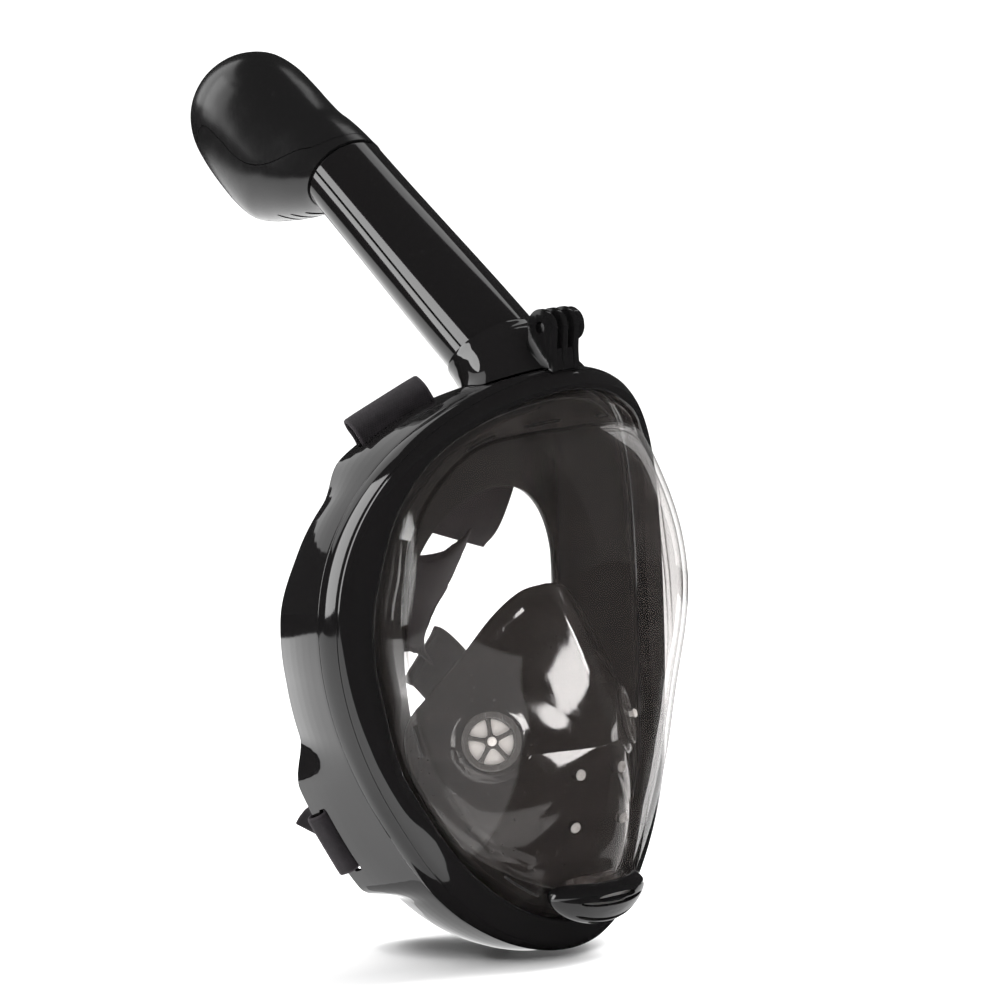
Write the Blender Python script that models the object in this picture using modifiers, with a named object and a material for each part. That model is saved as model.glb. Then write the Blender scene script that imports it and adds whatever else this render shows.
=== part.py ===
"""Full face snorkel mask: lens, frame, face seal, breathing pocket, valves, harness and dry-top tube.

Metres, +Z up, the lens faces -Y, +X is the wearer's left. Origin: centre of the face opening.
Section tables below are in millimetres and are turned into metres by MM.
"""
import bpy
import bmesh
import numpy as np
from math import pi, sin, cos, radians
from mathutils import Matrix, Vector

MM = 0.001
GAP = 0.0003          # gap between pieces that touch
RIM_W = 0.092         # half width of the mask's rim curve
RIM_H = 0.116         # half height of the rim curve
RIM_Y = -0.071        # rim curve at mid height, on the centre line
SWEEP = 0.045         # how far the rim runs back towards the temples
CHIN_BACK = 0.008     # how far the rim runs back under the chin
EGG = 0.145           # how much wider the rim is above its middle
LENS_T = 0.0024       # lens wall
LENS_Y = -0.093       # foremost point of the lens
LENS_Z = 0.020        # its height
FRAME_T = 2.6         # rear frame wall, mm
FRAME_D = 36.0        # rear frame depth behind the rim at the brow, mm
FRAME_D_SIDE = 7.0    # extra depth at the temples, mm
SKIRT_T = 0.0020      # face seal wall
OPEN_W = 0.052        # face opening, half width
OPEN_H = 0.079        # face opening, half height
OPEN_Z = -0.006
CUP_T = 0.0018        # breathing pocket wall
CUP_Y = -0.077        # foremost point of the pocket
CUP_Z = -0.036
GRID_R = 0.0118       # inhale grid, outer radius
STRAP_T = 0.0016      # strap thickness
STRAP_W = 0.028       # lower strap width
STRAP_W_UP = 0.036    # upper strap width
SLOT_SIDE = 0.0015    # slot beyond each edge of its strap
SLOT_W = 0.0046       # strap slot, across
BAR_W = 0.0042        # bar left behind the slot
TUBE_BASE = Vector((0.0, -0.0375, 0.1277))
TUBE_TILT = radians(48.0)   # tube axis, leaning back from vertical
TUBE_A = 0.0226       # tube half width at the socket
TUBE_B = 0.0182       # tube half depth at the socket
TUBE_TAPER = 0.90     # size at the cap end against the socket end
CORE_A = 0.0176       # inner core of the tube
CORE_B = 0.0133
SEAM_S = 0.0045       # socket rim, along the tube axis
CAP_S0 = 0.118        # cap start
FLOAT_LIFT = 0.008
PRONG = 0.00305       # camera prong thickness
PRONG_GAP = 0.0032
PRONG_R = 0.00775
MOUNT_Z = 0.140       # camera bolt axis
CHIN_RHO = 0.034      # radius of the chin valve's curved seat

D_AX = Vector((0.0, sin(TUBE_TILT), cos(TUBE_TILT)))
N_AX = Vector((0.0, -cos(TUBE_TILT), sin(TUBE_TILT)))

for old in list(bpy.data.objects):
    bpy.data.objects.remove(old, do_unlink=True)
for old in list(bpy.data.collections):
    bpy.data.collections.remove(old)
PARTS = bpy.data.collections.new("full_face_snorkel")
TOOLS = bpy.data.collections.new("cutters")
bpy.context.scene.collection.children.link(PARTS)
bpy.context.scene.collection.children.link(TOOLS)


# ---------------------------------------------------------------- helpers
def material(name, rgb, rough=0.4, metal=0.0, alpha=1.0):
    m = bpy.data.materials.new(name)
    m.use_nodes = True
    b = m.node_tree.nodes["Principled BSDF"]
    b.inputs["Base Color"].default_value = (rgb[0], rgb[1], rgb[2], 1.0)
    b.inputs["Roughness"].default_value = rough
    b.inputs["Metallic"].default_value = metal
    b.inputs["Alpha"].default_value = alpha
    return m


def smooth(x):
    x = np.clip(x, 0.0, 1.0)
    return x * x * (3.0 - 2.0 * x)


def mesh_object(name, verts, faces, mat=None, tool=False, shade=True):
    me = bpy.data.meshes.new(name)
    me.from_pydata([tuple(v) for v in verts], [], faces)
    bm = bmesh.new()
    bm.from_mesh(me)
    bmesh.ops.recalc_face_normals(bm, faces=bm.faces)
    bm.to_mesh(me)
    bm.free()
    me.update()
    ob = bpy.data.objects.new(name, me)
    if tool:
        TOOLS.objects.link(ob)
        ob.hide_render = True
        ob.display_type = 'WIRE'
    else:
        PARTS.objects.link(ob)
        me.materials.append(mat)
    if shade:
        me.polygons.foreach_set("use_smooth", [True] * len(me.polygons))
    return ob


def loft(name, rings, wrap_rows=False, ends="cap", **kw):
    """Skin over closed rings: rings[row, point, xyz]. wrap_rows joins the last row to the first;
    otherwise each end is closed on a centre point ("cap"), or across an arc's wall ("ribbon")."""
    P = np.asarray(rings, float)
    nr, nc = P.shape[:2]
    verts = [tuple(p) for p in P.reshape(-1, 3)]
    faces = []
    for i in range(nr if wrap_rows else nr - 1):
        a, b = i * nc, ((i + 1) % nr) * nc
        for j in range(nc):
            k = (j + 1) % nc
            faces.append((a + j, a + k, b + k, b + j))
    if not wrap_rows and ends == "cap":
        for row in (0, nr - 1):
            verts.append(tuple(P[row].mean(axis=0)))
            c = len(verts) - 1
            faces += [(row * nc + j, row * nc + (j + 1) % nc, c) for j in range(nc)]
    if not wrap_rows and ends == "ribbon":
        for row in (0, nr - 1):
            o = row * nc
            faces += [(o + j, o + j + 1, o + nc - 2 - j, o + nc - 1 - j) for j in range(nc // 2 - 1)]
    return mesh_object(name, verts, faces, **kw)


def disc_surface(name, rings, centre, **kw):
    """Open surface: closed rings from the outside in, ending in one centre point."""
    P = np.asarray(rings, float)
    nr, nc = P.shape[:2]
    verts = [tuple(p) for p in P.reshape(-1, 3)] + [tuple(centre)]
    faces = [(i * nc + j, i * nc + (j + 1) % nc, (i + 1) * nc + (j + 1) % nc, (i + 1) * nc + j)
             for i in range(nr - 1) for j in range(nc)]
    c = len(verts) - 1
    faces += [((nr - 1) * nc + j, (nr - 1) * nc + (j + 1) % nc, c) for j in range(nc)]
    return mesh_object(name, verts, faces, **kw)


def solidify(ob, thickness, offset=0.0):
    m = ob.modifiers.new("wall", 'SOLIDIFY')
    m.thickness = thickness
    m.offset = offset
    m.use_even_offset = True
    return m


def cut(ob, tool, op='DIFFERENCE'):
    m = ob.modifiers.new("cut", 'BOOLEAN')
    m.operation = op
    m.solver = 'EXACT'
    m.object = tool
    return m


def from_curve(ob, name, mat):
    """Curve to mesh, caps welded, in the same place."""
    bpy.context.view_layer.update()
    dg = bpy.context.evaluated_depsgraph_get()
    me = bpy.data.meshes.new_from_object(ob.evaluated_get(dg))
    me.name = name
    bm = bmesh.new()
    bm.from_mesh(me)
    bmesh.ops.remove_doubles(bm, verts=bm.verts, dist=0.000001)
    bmesh.ops.recalc_face_normals(bm, faces=bm.faces)
    bm.to_mesh(me)
    bm.free()
    new = bpy.data.objects.new(name, me)
    new.matrix_world = ob.matrix_world.copy()
    PARTS.objects.link(new)
    me.materials.clear()
    me.materials.append(mat)
    bpy.data.objects.remove(ob, do_unlink=True)
    return new


def flat_shape(name, outlines, depth, mat, matrix):
    """Flat 2D outlines (the first outside, the others holes) extruded to a plate of this depth."""
    cu = bpy.data.curves.new(name, 'CURVE')
    cu.dimensions = '2D'
    cu.fill_mode = 'BOTH'
    cu.extrude = depth / 2
    for pts in outlines:
        sp = cu.splines.new('POLY')
        sp.points.add(len(pts) - 1)
        for k, p in enumerate(pts):
            sp.points[k].co = (p[0], p[1], 0.0, 1.0)
        sp.use_cyclic_u = True
    ob = bpy.data.objects.new(name + "_outline", cu)
    PARTS.objects.link(ob)
    ob.matrix_world = matrix
    return from_curve(ob, name, mat)


def frame_matrix(origin, z_axis, x_hint):
    z = Vector(z_axis).normalized()
    x = (Vector(x_hint) - Vector(x_hint).dot(z) * z).normalized()
    y = z.cross(x)
    m = Matrix((x, y, z)).transposed().to_4x4()
    m.translation = Vector(origin)
    return m


def turned(name, profile, matrix, mat, steps=32, tool=False):
    """Round piece: (radius, height) profile down its outer side, ends on the axis or closed."""
    closed = profile[0] == profile[-1]
    verts = [(r, 0.0, z) for r, z in (profile[:-1] if closed else profile)]
    n = len(verts)
    me = bpy.data.meshes.new(name)
    me.from_pydata(verts, [(k, (k + 1) % n) for k in range(n if closed else n - 1)], [])
    ob = bpy.data.objects.new(name, me)
    (TOOLS if tool else PARTS).objects.link(ob)
    if tool:
        ob.hide_render = True
        ob.display_type = 'WIRE'
    else:
        me.materials.append(mat)
    s = ob.modifiers.new("turn", 'SCREW')
    s.steps = steps
    s.render_steps = steps
    s.use_merge_vertices = True
    s.merge_threshold = 0.00001
    s.use_smooth_shade = True
    ob.matrix_world = matrix
    return ob


def set_origin(ob, point):
    """Move the object's origin to a point on its joint's axis, leaving the mesh where it is."""
    ob.data.transform(Matrix.Translation(-Vector(point)) @ ob.matrix_world)
    ob.matrix_world = Matrix.Translation(Vector(point))


def spline(points, n):
    """Catmull-Rom curve through the points, n samples."""
    P = np.asarray(points, float)
    P = np.vstack([2 * P[0] - P[1], P, 2 * P[-1] - P[-2]])
    m = len(P) - 3
    t = np.linspace(0, m, n)
    i = np.clip(t.astype(int), 0, m - 1)
    u = (t - i)[:, None]
    a, b, c, d = P[i], P[i + 1], P[i + 2], P[i + 3]
    return 0.5 * (2 * b + (c - a) * u + (2 * a - 5 * b + 4 * c - d) * u ** 2
                  + (3 * b - a - 3 * c + d) * u ** 3)


def tube_pt(x, n, s):
    """Point from snorkel-tube coordinates: across, towards the tube's upper side, along its axis."""
    x, n, s = np.broadcast_arrays(x, n, s)
    return (np.array(TUBE_BASE) + x[..., None] * np.array((1.0, 0, 0))
            + n[..., None] * np.array(N_AX) + s[..., None] * np.array(D_AX))


# ---------------------------------------------------------------- shared curves
NT = 48
T = np.linspace(0, 2 * pi, NT, endpoint=False)


def breadth(t):
    return np.sin(t) * (1 + EGG * np.cos(t) + 0.03 * np.cos(2 * t))


def rim(t, dw=0.0, dy=0.0):
    """The mask's egg-shaped rim: dw mm outward and dy mm back from the base curve."""
    f = breadth(t)
    dw = np.asarray(dw) + 0 * f
    x = (RIM_W + dw * MM) * f
    z = (RIM_H + 1.15 * dw * MM) * np.cos(t)
    y = RIM_Y + np.asarray(dy) * MM + SWEEP * np.abs(f) ** 1.8 - 0.05 * z
    y = y + CHIN_BACK * smooth((-np.cos(t) - 0.45) / 0.55)
    return np.stack([x, y, z], -1)


def lip(t):
    """How far the bezel laps over the lens: 0 at the brow, 1 at the sides, half below."""
    c = np.cos(t)
    return smooth((0.866 - c) / 0.491) * (1 - 0.5 * smooth((-c - 0.05) / 0.35))


def bump(t, at, half, edge=7.0):
    """1 within half degrees of +-at, fading to 0 over edge degrees."""
    a = np.degrees(np.abs(np.arctan2(np.sin(t), np.cos(t))))
    return smooth(1 - (np.abs(a - at) - half) / edge)


def by_angle(t, degrees, values):
    a = np.degrees(np.abs(np.arctan2(np.sin(t), np.cos(t))))
    return np.interp(a, degrees, values)


UPPER_LUG, LOWER_LUG = 27.0, 121.0


def frame_depth(t):
    return FRAME_D + FRAME_D_SIDE * np.abs(breadth(t)) ** 1.8 + 7.0 * bump(t, UPPER_LUG, 12, 12) \
        + 2.0 * bump(t, LOWER_LUG, 11, 9) - 3.0 * bump(t, 56, 6, 14)


def seal_flare(t):
    return by_angle(t, [0, 90, 125, 180], [0.0, 0.0, 5.0, 6.5])


def frame_flare(t):
    return seal_flare(t) + 9.0 * bump(t, LOWER_LUG, 11, 9) + 2.0 * bump(t, UPPER_LUG, 12, 12)


# ---------------------------------------------------------------- the mask
def lens(mat):
    """Clear window: flange under the bezel, short wall, crease, bulging front."""
    m = lip(T)
    rows = [rim(T, 1.4, 3.8), rim(T, 0.4 - 1.4 * m, 3.0 - 0.3 * m),
            rim(T, -2.4 - 7.0 * m, 1.5 - 3.3 * m), rim(T, -4.3 - 7.2 * m, -0.6 - 3.3 * m),
            rim(T, -4.6 - 7.2 * m, -4.0 - 3.6 * m)]
    ang = [0, 15, 25, 33, 45, 58, 66, 75, 90, 107, 125, 145, 165, 180]
    dw = by_angle(T, ang, [-16.5, -13.6, -9.2, -7.0, -8.2, -11.2, -12.9, -13.0, -13.2, -13.5, -13.0,
                           -12.5, -12.5, -12.5])
    dy = by_angle(T, ang, [4.8, 1.6, -1.0, -6.5, -9, -14, -17, -19, -20, -16, -12.5, -11, -12, -13])
    q = by_angle(T, ang, [3, 3, 3, 3.3, 3.8, 4.6, 4.7, 4.4, 2.9, 2.3, 1.9, 2.0, 2.3, 2.5])
    crease = rim(T, dw, dy)
    rows.append(0.35 * rows[-1] + 0.65 * crease)
    rows.append(crease)
    mid = np.array([0.0, 0.0, LENS_Z])
    for s in (0.95, 0.87, 0.76, 0.60, 0.42, 0.22):
        ring = mid + s * (crease - mid)
        ring[:, 1] = crease[:, 1] + (LENS_Y - crease[:, 1]) * (1 - s ** q)
        rows.append(ring)
    ob = disc_surface("lens", rows, (0.0, LENS_Y, LENS_Z), mat=mat)
    solidify(ob, LENS_T)
    return ob


def front_bezel(mat):
    """Gloss ring that clamps the lens: outer wall and inward lip, one closed section all round."""
    m = lip(T)
    sec = [(2.9, 12.0), (6.0, 12.0), (6.3, 8.0), (5.7, 4.0), (4.2, 0.6), (1.8, -1.9),
           (-0.2 - 3.2 * m, -2.6 - 1.9 * m), (-1.6 - 6.6 * m, -2.4 - 3.6 * m),
           (-2.4 - 7.2 * m, -1.6 - 3.6 * m), (-2.2 - 7.2 * m, -0.4 - 3.3 * m),
           (0.4 - 1.4 * m, 1.2 - 0.3 * m), (2.7, 2.3)]
    return loft("front_bezel", np.stack([rim(T, a, b) for a, b in sec]), wrap_rows=True, mat=mat)


def rear_frame(mat):
    """Gloss frame behind the bezel: lens flange, side wall, four slotted strap lugs."""
    m, depth, flare = lip(T), frame_depth(T), frame_flare(T)
    sec = [(2.4, 6.2), (2.4, 12.4), (5.6, 12.4)]
    side = [0.15, 0.4, 0.65, 0.9]
    out = [(5.6 + (flare - 5.6) * v + 1.2 * sin(pi * v), 12.4 + (depth - 12.4) * v) for v in side]
    sec += out
    sec += [(flare - 0.3, depth - 0.3), (flare - 1.3, depth), (flare - 2.2, depth - 0.6)]
    sec += [(a - FRAME_T, b) for a, b in reversed(out)]
    sec += [(-0.2, 9.5), (-2.2 - 1.6 * m, 6.4 - 0.3 * m), (-2.4 - 1.6 * m, 3.7 - 0.3 * m)]
    ob = loft("rear_frame", np.stack([rim(T, a, b) for a, b in sec]), wrap_rows=True, mat=mat)
    return ob


def lug_frame(at, side):
    """Slot frame: point on the wall's middle, tangent along the frame, normal outward, rearward."""
    t = radians(at) * side
    d, fl = frame_depth(np.array([t]))[0], frame_flare(np.array([t]))[0]
    v = 1 - (BAR_W + SLOT_W / 2) / MM / (d - 12.4)

    def on(tt, vv):
        dd, ff = frame_depth(np.array([tt]))[0], frame_flare(np.array([tt]))[0]
        a = 5.6 + (ff - 5.6) * vv + 1.2 * sin(pi * vv) - FRAME_T / 2
        return Vector(rim(np.array([tt]), a, 12.4 + (dd - 12.4) * vv)[0])
    p = on(t, v)
    tan = (on(t + 0.05, v) - on(t - 0.05, v)).normalized() * side
    back = (on(t, 1.0) - on(t, v - 0.1))
    back = (back - back.dot(tan) * tan).normalized()
    out = tan.cross(back)
    if out.dot(p - Vector((0, p.y, 0))) < 0:
        out = -out
    return p, tan, out, back


def box_tool(name, matrix, size):
    x, y, z = size[0] / 2, size[1] / 2, size[2] / 2
    v = [(i * x, j * y, k * z) for i in (-1, 1) for j in (-1, 1) for k in (-1, 1)]
    f = [(0, 1, 3, 2), (4, 6, 7, 5), (0, 4, 5, 1), (2, 3, 7, 6), (0, 2, 6, 4), (1, 5, 7, 3)]
    ob = mesh_object(name, v, f, tool=True, shade=False)
    ob.matrix_world = matrix
    return ob


def cut_slots(frame):
    for label, at in (("upper", UPPER_LUG), ("lower", LOWER_LUG)):
        for hand, side in (("left", 1), ("right", -1)):
            p, tan, out, back = lug_frame(at, side)
            m = Matrix((tan, out, back)).transposed().to_4x4()
            m.translation = p
            long = 2 * SLOT_SIDE + (STRAP_W_UP if label == "upper" else STRAP_W)
            cut(frame, box_tool("slot_%s_%s" % (label, hand), m, (long, 0.016, SLOT_W)))


def opening_edge(t):
    x = OPEN_W * np.sin(t) * (1 + 0.06 * np.cos(t))
    z = OPEN_Z + OPEN_H * np.cos(t)
    y = -0.028 + 0.026 * np.abs(np.sin(t)) ** 1.8
    return np.stack([x, y, z], -1)


def face_skirt(mat):
    """Soft seal: fixed inside the frame, rolls over behind it and runs in to the face opening."""
    depth = FRAME_D + FRAME_D_SIDE * np.abs(breadth(T)) ** 1.8
    fl = seal_flare(T)
    m = lip(T)
    edge = opening_edge(T)
    rows = [rim(T, -5.6 - 1.0 * m, 9.2), rim(T, -2.6, 12.0), rim(T, -1.2, 18.0),
            rim(T, fl * 0.5 - 2.2, 0.75 * depth), rim(T, fl - 5.6, depth + 1.0),
            rim(T, fl - 8.2, depth + 5.0)]
    roll = rim(T, fl - 12.5, depth + 6.6)
    rows.append(roll)
    for k, lift in ((0.2, 0.001), (0.55, 0.0015), (0.9, 0.0)):
        row = roll + k * (edge - roll)
        row[:, 1] += lift
        rows.append(row)
    rows.append(edge)
    P = np.stack(rows)
    nr = len(rows)
    verts = [tuple(p) for p in P.reshape(-1, 3)]
    faces = [(i * NT + j, i * NT + (j + 1) % NT, (i + 1) * NT + (j + 1) % NT, (i + 1) * NT + j)
             for i in range(nr - 1) for j in range(NT)]
    ob = mesh_object("face_skirt", verts, faces, mat=mat)
    solidify(ob, SKIRT_T)
    return ob


CUP_EDGE = [(0, -53, 31), (12, -50.5, 29), (24, -45.5, 20), (38, -40, 5), (52, -34, -9), (61, -28, -22),
            (62, -30, -40), (57, -36, -58), (47, -45, -74), (32, -55, -86), (16, -63, -93), (0, -66, -95.5)]


def cup_rings(n):
    """Breathing pocket: rings from its edge on the face side to its foremost point."""
    half = spline(np.array(CUP_EDGE) * MM, n // 2 + 1)
    left = half[1:-1][::-1] * np.array([-1, 1, 1])
    edge = np.vstack([half, left])
    mid = np.array([0.0, 0.0, CUP_Z])
    ang = np.abs(np.arctan2(edge[:, 0], edge[:, 2] - CUP_Z))
    q = np.interp(np.degrees(ang), [0, 40, 90, 135, 180], [2.0, 1.7, 1.45, 1.9, 3.2])
    rows = [edge]
    for s in (0.93, 0.83, 0.70, 0.54, 0.36, 0.18):
        ring = mid + s * (edge - mid)
        ring[:, 1] = edge[:, 1] + (CUP_Y - edge[:, 1]) * (1 - s ** q)
        rows.append(ring)
    return rows


def orinasal_cup(mat):
    ob = disc_surface("orinasal_cup", cup_rings(36), (0.0, CUP_Y, CUP_Z), mat=mat)
    solidify(ob, CUP_T)
    return ob


def grid_frame(side):
    """Seat of an inhale grid on the pocket: local z points out of the pocket."""
    return frame_matrix((0.0395 * side, -0.0548, -0.029), (0.62 * side, -0.77, 0.16), (0, 0.1, 1.0))


def circle(r, n, phase=0.0):
    return [(r * cos(phase + 2 * pi * k / n), r * sin(phase + 2 * pi * k / n)) for k in range(n)]


def inhale_grid(hand, side, mat):
    """Round snap-in grid: rim, hub with a stem hole and five spokes."""
    r_in, hub, spoke = GRID_R - 0.0021, 0.0030, 0.0011
    outlines = [circle(GRID_R, 36)]
    for k in range(5):
        a0, a1 = 2 * pi * k / 5, 2 * pi * (k + 1) / 5
        pts = []
        for r, order in ((r_in, 1), (hub, -1)):
            m = spoke / r
            arc = np.linspace(a0 + m, a1 - m, 6 if r > 0.005 else 3)[::order]
            pts += [(r * cos(a), r * sin(a)) for a in arc]
        outlines.append(pts)
    outlines.append(circle(0.0015, 10))
    return flat_shape("inhale_grid_" + hand, outlines, 0.0030, mat, grid_frame(side))


def inhale_flap(hand, side, mat):
    """Silicone disc under the grid with a stem through its hub and a bulb that keeps it there."""
    prof = [(0, 0.0052), (0.0013, 0.0050), (0.0021, 0.0038), (0.0012, 0.0033), (0.0011, -0.0016),
            (0.0096, -0.00185), (0.0096, -0.0025), (0, -0.0029)]
    ob = turned("inhale_flap_" + hand, prof, grid_frame(side), mat, steps=24)
    return ob


def chin_pt(a, b, h):
    """Point of the curved chin seat: a along its width, b up it, h out of it."""
    n = np.array([0.0, -0.80, -0.60])
    up = np.array([0.0, -0.60, 0.80])
    a, b, h = np.broadcast_arrays(np.asarray(a, float), np.asarray(b, float), np.asarray(h, float))
    base = np.array([0.0, -0.0715, -0.0985])
    ang = a / CHIN_RHO
    x = (CHIN_RHO + h) * np.sin(ang)
    k = (CHIN_RHO + h) * np.cos(ang) - CHIN_RHO
    return base + x[..., None] * np.array([1.0, 0, 0]) + k[..., None] * n + b[..., None] * up


CH = np.linspace(0, 2 * pi, 30, endpoint=False)


def chin_ring(a, b, h, tip=0.0):
    """Oval ring round the chin seat."""
    c, s = np.cos(CH), np.sin(CH)
    return chin_pt(a * c, b * s * (1 - tip * c * c), h + 0 * c)


def chin_seat(mat):
    """Valve seat: sleeve through the lens to the pocket, flange outside, raised lip for the flap."""
    sec = [(18.6, 5.3, 1.9), (18.6, 5.3, -8.0), (17.0, 3.9, -8.0), (17.0, 3.9, 4.2), (17.8, 4.7, 4.4),
           (18.6, 5.5, 3.4), (21.6, 8.0, 3.4), (21.8, 8.2, 1.9)]
    return loft("chin_valve_seat", np.stack([chin_ring(a * MM, b * MM, h * MM) for a, b, h in sec]),
                wrap_rows=True, mat=mat)


def chin_flap(mat):
    """Soft flap on the seat's lip, curved like the seat."""
    lo, hi = 4.75 * MM, 5.45 * MM
    rows = [chin_ring(r * 19.0 * MM, r * 5.9 * MM, lo) for r in (0.3, 0.65, 0.94)]
    rows += [chin_ring(19.4 * MM, 6.2 * MM, (lo + hi) / 2)]
    rows += [chin_ring(r * 19.0 * MM, r * 5.9 * MM, hi) for r in (0.94, 0.65, 0.3)]
    return loft("chin_flap", np.stack(rows), mat=mat)


def chin_cover(mat):
    """Boat-shaped cover over the flap with curved drain slots."""
    outer = [(24.5, 9.6, 2.2), (25.0, 10.0, 3.2), (24.4, 9.8, 5.8), (22.6, 8.8, 8.2), (18.5, 6.8, 9.7),
             (12.0, 4.2, 10.5), (5.0, 1.8, 10.8)]
    inner = [(23.2, 8.6, 2.2), (23.2, 8.6, 5.6), (21.4, 7.8, 7.4), (17.0, 5.8, 8.4), (11.0, 3.6, 9.1),
             (5.0, 1.6, 9.3)]
    rows = [chin_ring(a * MM, b * MM, h * MM) for a, b, h in reversed(inner)]
    rows += [chin_ring(a * MM, b * MM, h * MM) for a, b, h in outer]
    ob = loft("chin_valve_cover", np.stack(rows), mat=mat)
    for k, b in enumerate((-4.2, 4.2)):
        a = np.linspace(-13, 13, 6) * MM
        top = np.stack([chin_pt(a, (b + 1.1) * MM, h * MM) for h in (6.6, 12.5)])
        bot = np.stack([chin_pt(a, (b - 1.1) * MM, h * MM) for h in (6.6, 12.5)])
        rows = np.stack([np.array([top[0, j], top[1, j], bot[1, j], bot[0, j]]) for j in range(6)])
        cut(ob, loft("chin_slot_%d" % k, rows, tool=True, shade=False))
    return ob


def studs(mat):
    """Snap studs on the pocket's front."""
    out = []
    for k, (x, z) in enumerate(((0.012, -0.046), (-0.012, -0.046), (0.014, -0.068), (-0.014, -0.068))):
        y = -0.0779 if k < 2 else -0.0744
        m = frame_matrix((x, y, z), (x * 8, -1.0, -0.12 if k < 2 else -0.45), (1, 0, 0))
        prof = [(0, 0.0016), (0.0016, 0.0014), (0.0024, 0.0004), (0.0024, 0.0), (0, 0.0)]
        out.append(turned("cup_stud_%d" % (k + 1), prof, m, mat, steps=16))
    return out


# ---------------------------------------------------------------- neck, camera mount
def neck_rings(grow=0.0):
    """Outer skin of the neck, from its foot on the frame up to the socket rim."""
    th = np.linspace(0, 2 * pi, 40, endpoint=False)
    c, s = np.cos(th), np.sin(th)
    foot = np.stack([(0.032 + grow) * c, -0.052 - (0.0205 + grow) * s, 0.1105 - grow + 0 * c], -1)
    foot2 = np.stack([(0.030 + grow) * c, -0.0505 - (0.0210 + grow) * s, 0.1165 + 0.0055 * s + 0 * c], -1)
    top = [tube_pt((a + grow) * c, (b + grow) * s, (v + 0 * c + w * s)) for a, b, v, w in
           ((0.0250, 0.0204, -0.0035, -0.002), (0.0244, 0.0198, 0.0010, -0.0028), (0.0242, 0.0196, SEAM_S, -0.003))]
    mid = 0.5 * foot2 + 0.5 * top[0]
    mid[:, 0] *= 0.97
    return [foot, foot2, mid] + top


def neck(mat):
    """Socket housing on the brow with a blind oval bore for the tube's core."""
    th = np.linspace(0, 2 * pi, 40, endpoint=False)
    c, s = np.cos(th), np.sin(th)
    rows = neck_rings()
    for a, b, v, w in ((0.0236, 0.0190, SEAM_S + 0.0006, -0.003),
                       (CORE_A + 0.0009, CORE_B + 0.0009, SEAM_S + 0.0006, -0.0022),
                       (CORE_A + GAP, CORE_B + GAP, SEAM_S - 0.0006, -0.0022),
                       (CORE_A + GAP, CORE_B + GAP, -0.0085, 0.0)):
        rows.append(tube_pt(a * c, b * s, v + w * s))
    return loft("neck", np.stack(rows), mat=mat)


def envelope_tool(name, grow):
    """Solid of the frame and bezel, grown a little: shapes whatever is seated on them."""
    rows = [rim(T, 2.0 + grow, -3.0 - grow), rim(T, 4.4 + grow, 0.2 - grow), rim(T, 6.0 + grow, 4.0),
            rim(T, 6.6 + grow, 8.0), rim(T, 6.3 + grow, 12.4)]
    d, fl = frame_depth(T), frame_flare(T)
    for v in (0.15, 0.4, 0.65, 0.9, 1.12):
        rows.append(rim(T, 5.6 + (fl - 5.6) * v + 1.2 * sin(pi * min(v, 1)) + grow, 12.4 + (d - 12.4) * v))
    return loft(name, np.stack(rows), tool=True)


def camera_mount(mat):
    """Three-prong camera fitting with a cross hole."""
    x0 = -0.0080
    x1 = x0 + 3 * PRONG + 2 * PRONG_GAP
    top = [(-0.070 + PRONG_R * sin(a), MOUNT_Z + PRONG_R * cos(a)) for a in np.linspace(-pi / 2, pi / 2, 15)]
    side = top + [(-0.0615, 0.131), (-0.0590, 0.125), (-0.0570, 0.1190), (-0.0740, 0.1190), (-0.0765, 0.131)]
    n = len(side)
    v = [(x, y, z) for x in (x0, x1) for y, z in side]
    f = [tuple(range(n)), tuple(range(2 * n - 1, n - 1, -1))]
    f += [(k, (k + 1) % n, n + (k + 1) % n, n + k) for k in range(n)]
    ob = mesh_object("camera_mount", v, f, mat=mat, shade=False)
    for k in range(2):
        xc = x0 + PRONG + PRONG_GAP / 2 + k * (PRONG + PRONG_GAP)
        m = Matrix.Translation(Vector((xc, -0.070, MOUNT_Z + 0.004)))
        cut(ob, box_tool("prong_gap_%d" % k, m, (PRONG_GAP, 0.03, 0.026)))
    hole = turned("bolt_hole", [(0, 0.03), (0.0026, 0.03), (0.0026, -0.03), (0, -0.03)],
                  frame_matrix((0, -0.070, MOUNT_Z), (1, 0, 0), (0, 0, 1)), None, steps=40, tool=True)
    cut(ob, hole)
    return ob


def camera_nut(mat):
    """Round nut boss beside the last prong."""
    x = -0.0080 + 3 * PRONG + 2 * PRONG_GAP + GAP
    prof = [(0.0026, 0.0), (0.0070, 0.0), (0.0073, 0.0004), (0.0073, 0.0030), (0.0066, 0.0037),
            (0.0030, 0.0037), (0.0026, 0.0034), (0.0026, 0.0)]
    return turned("camera_nut", prof[::-1], frame_matrix((x, -0.070, MOUNT_Z), (1, 0, 0), (0, 0, 1)), mat,
                  steps=40)


# ---------------------------------------------------------------- snorkel tube and cap
def tube_size(s):
    """Half width and half depth of the tube's outer shells at s along the axis."""
    k = 1 - (1 - TUBE_TAPER) * smooth((s - SEAM_S) / 0.12)
    return TUBE_A * k, TUBE_B * k


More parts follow.
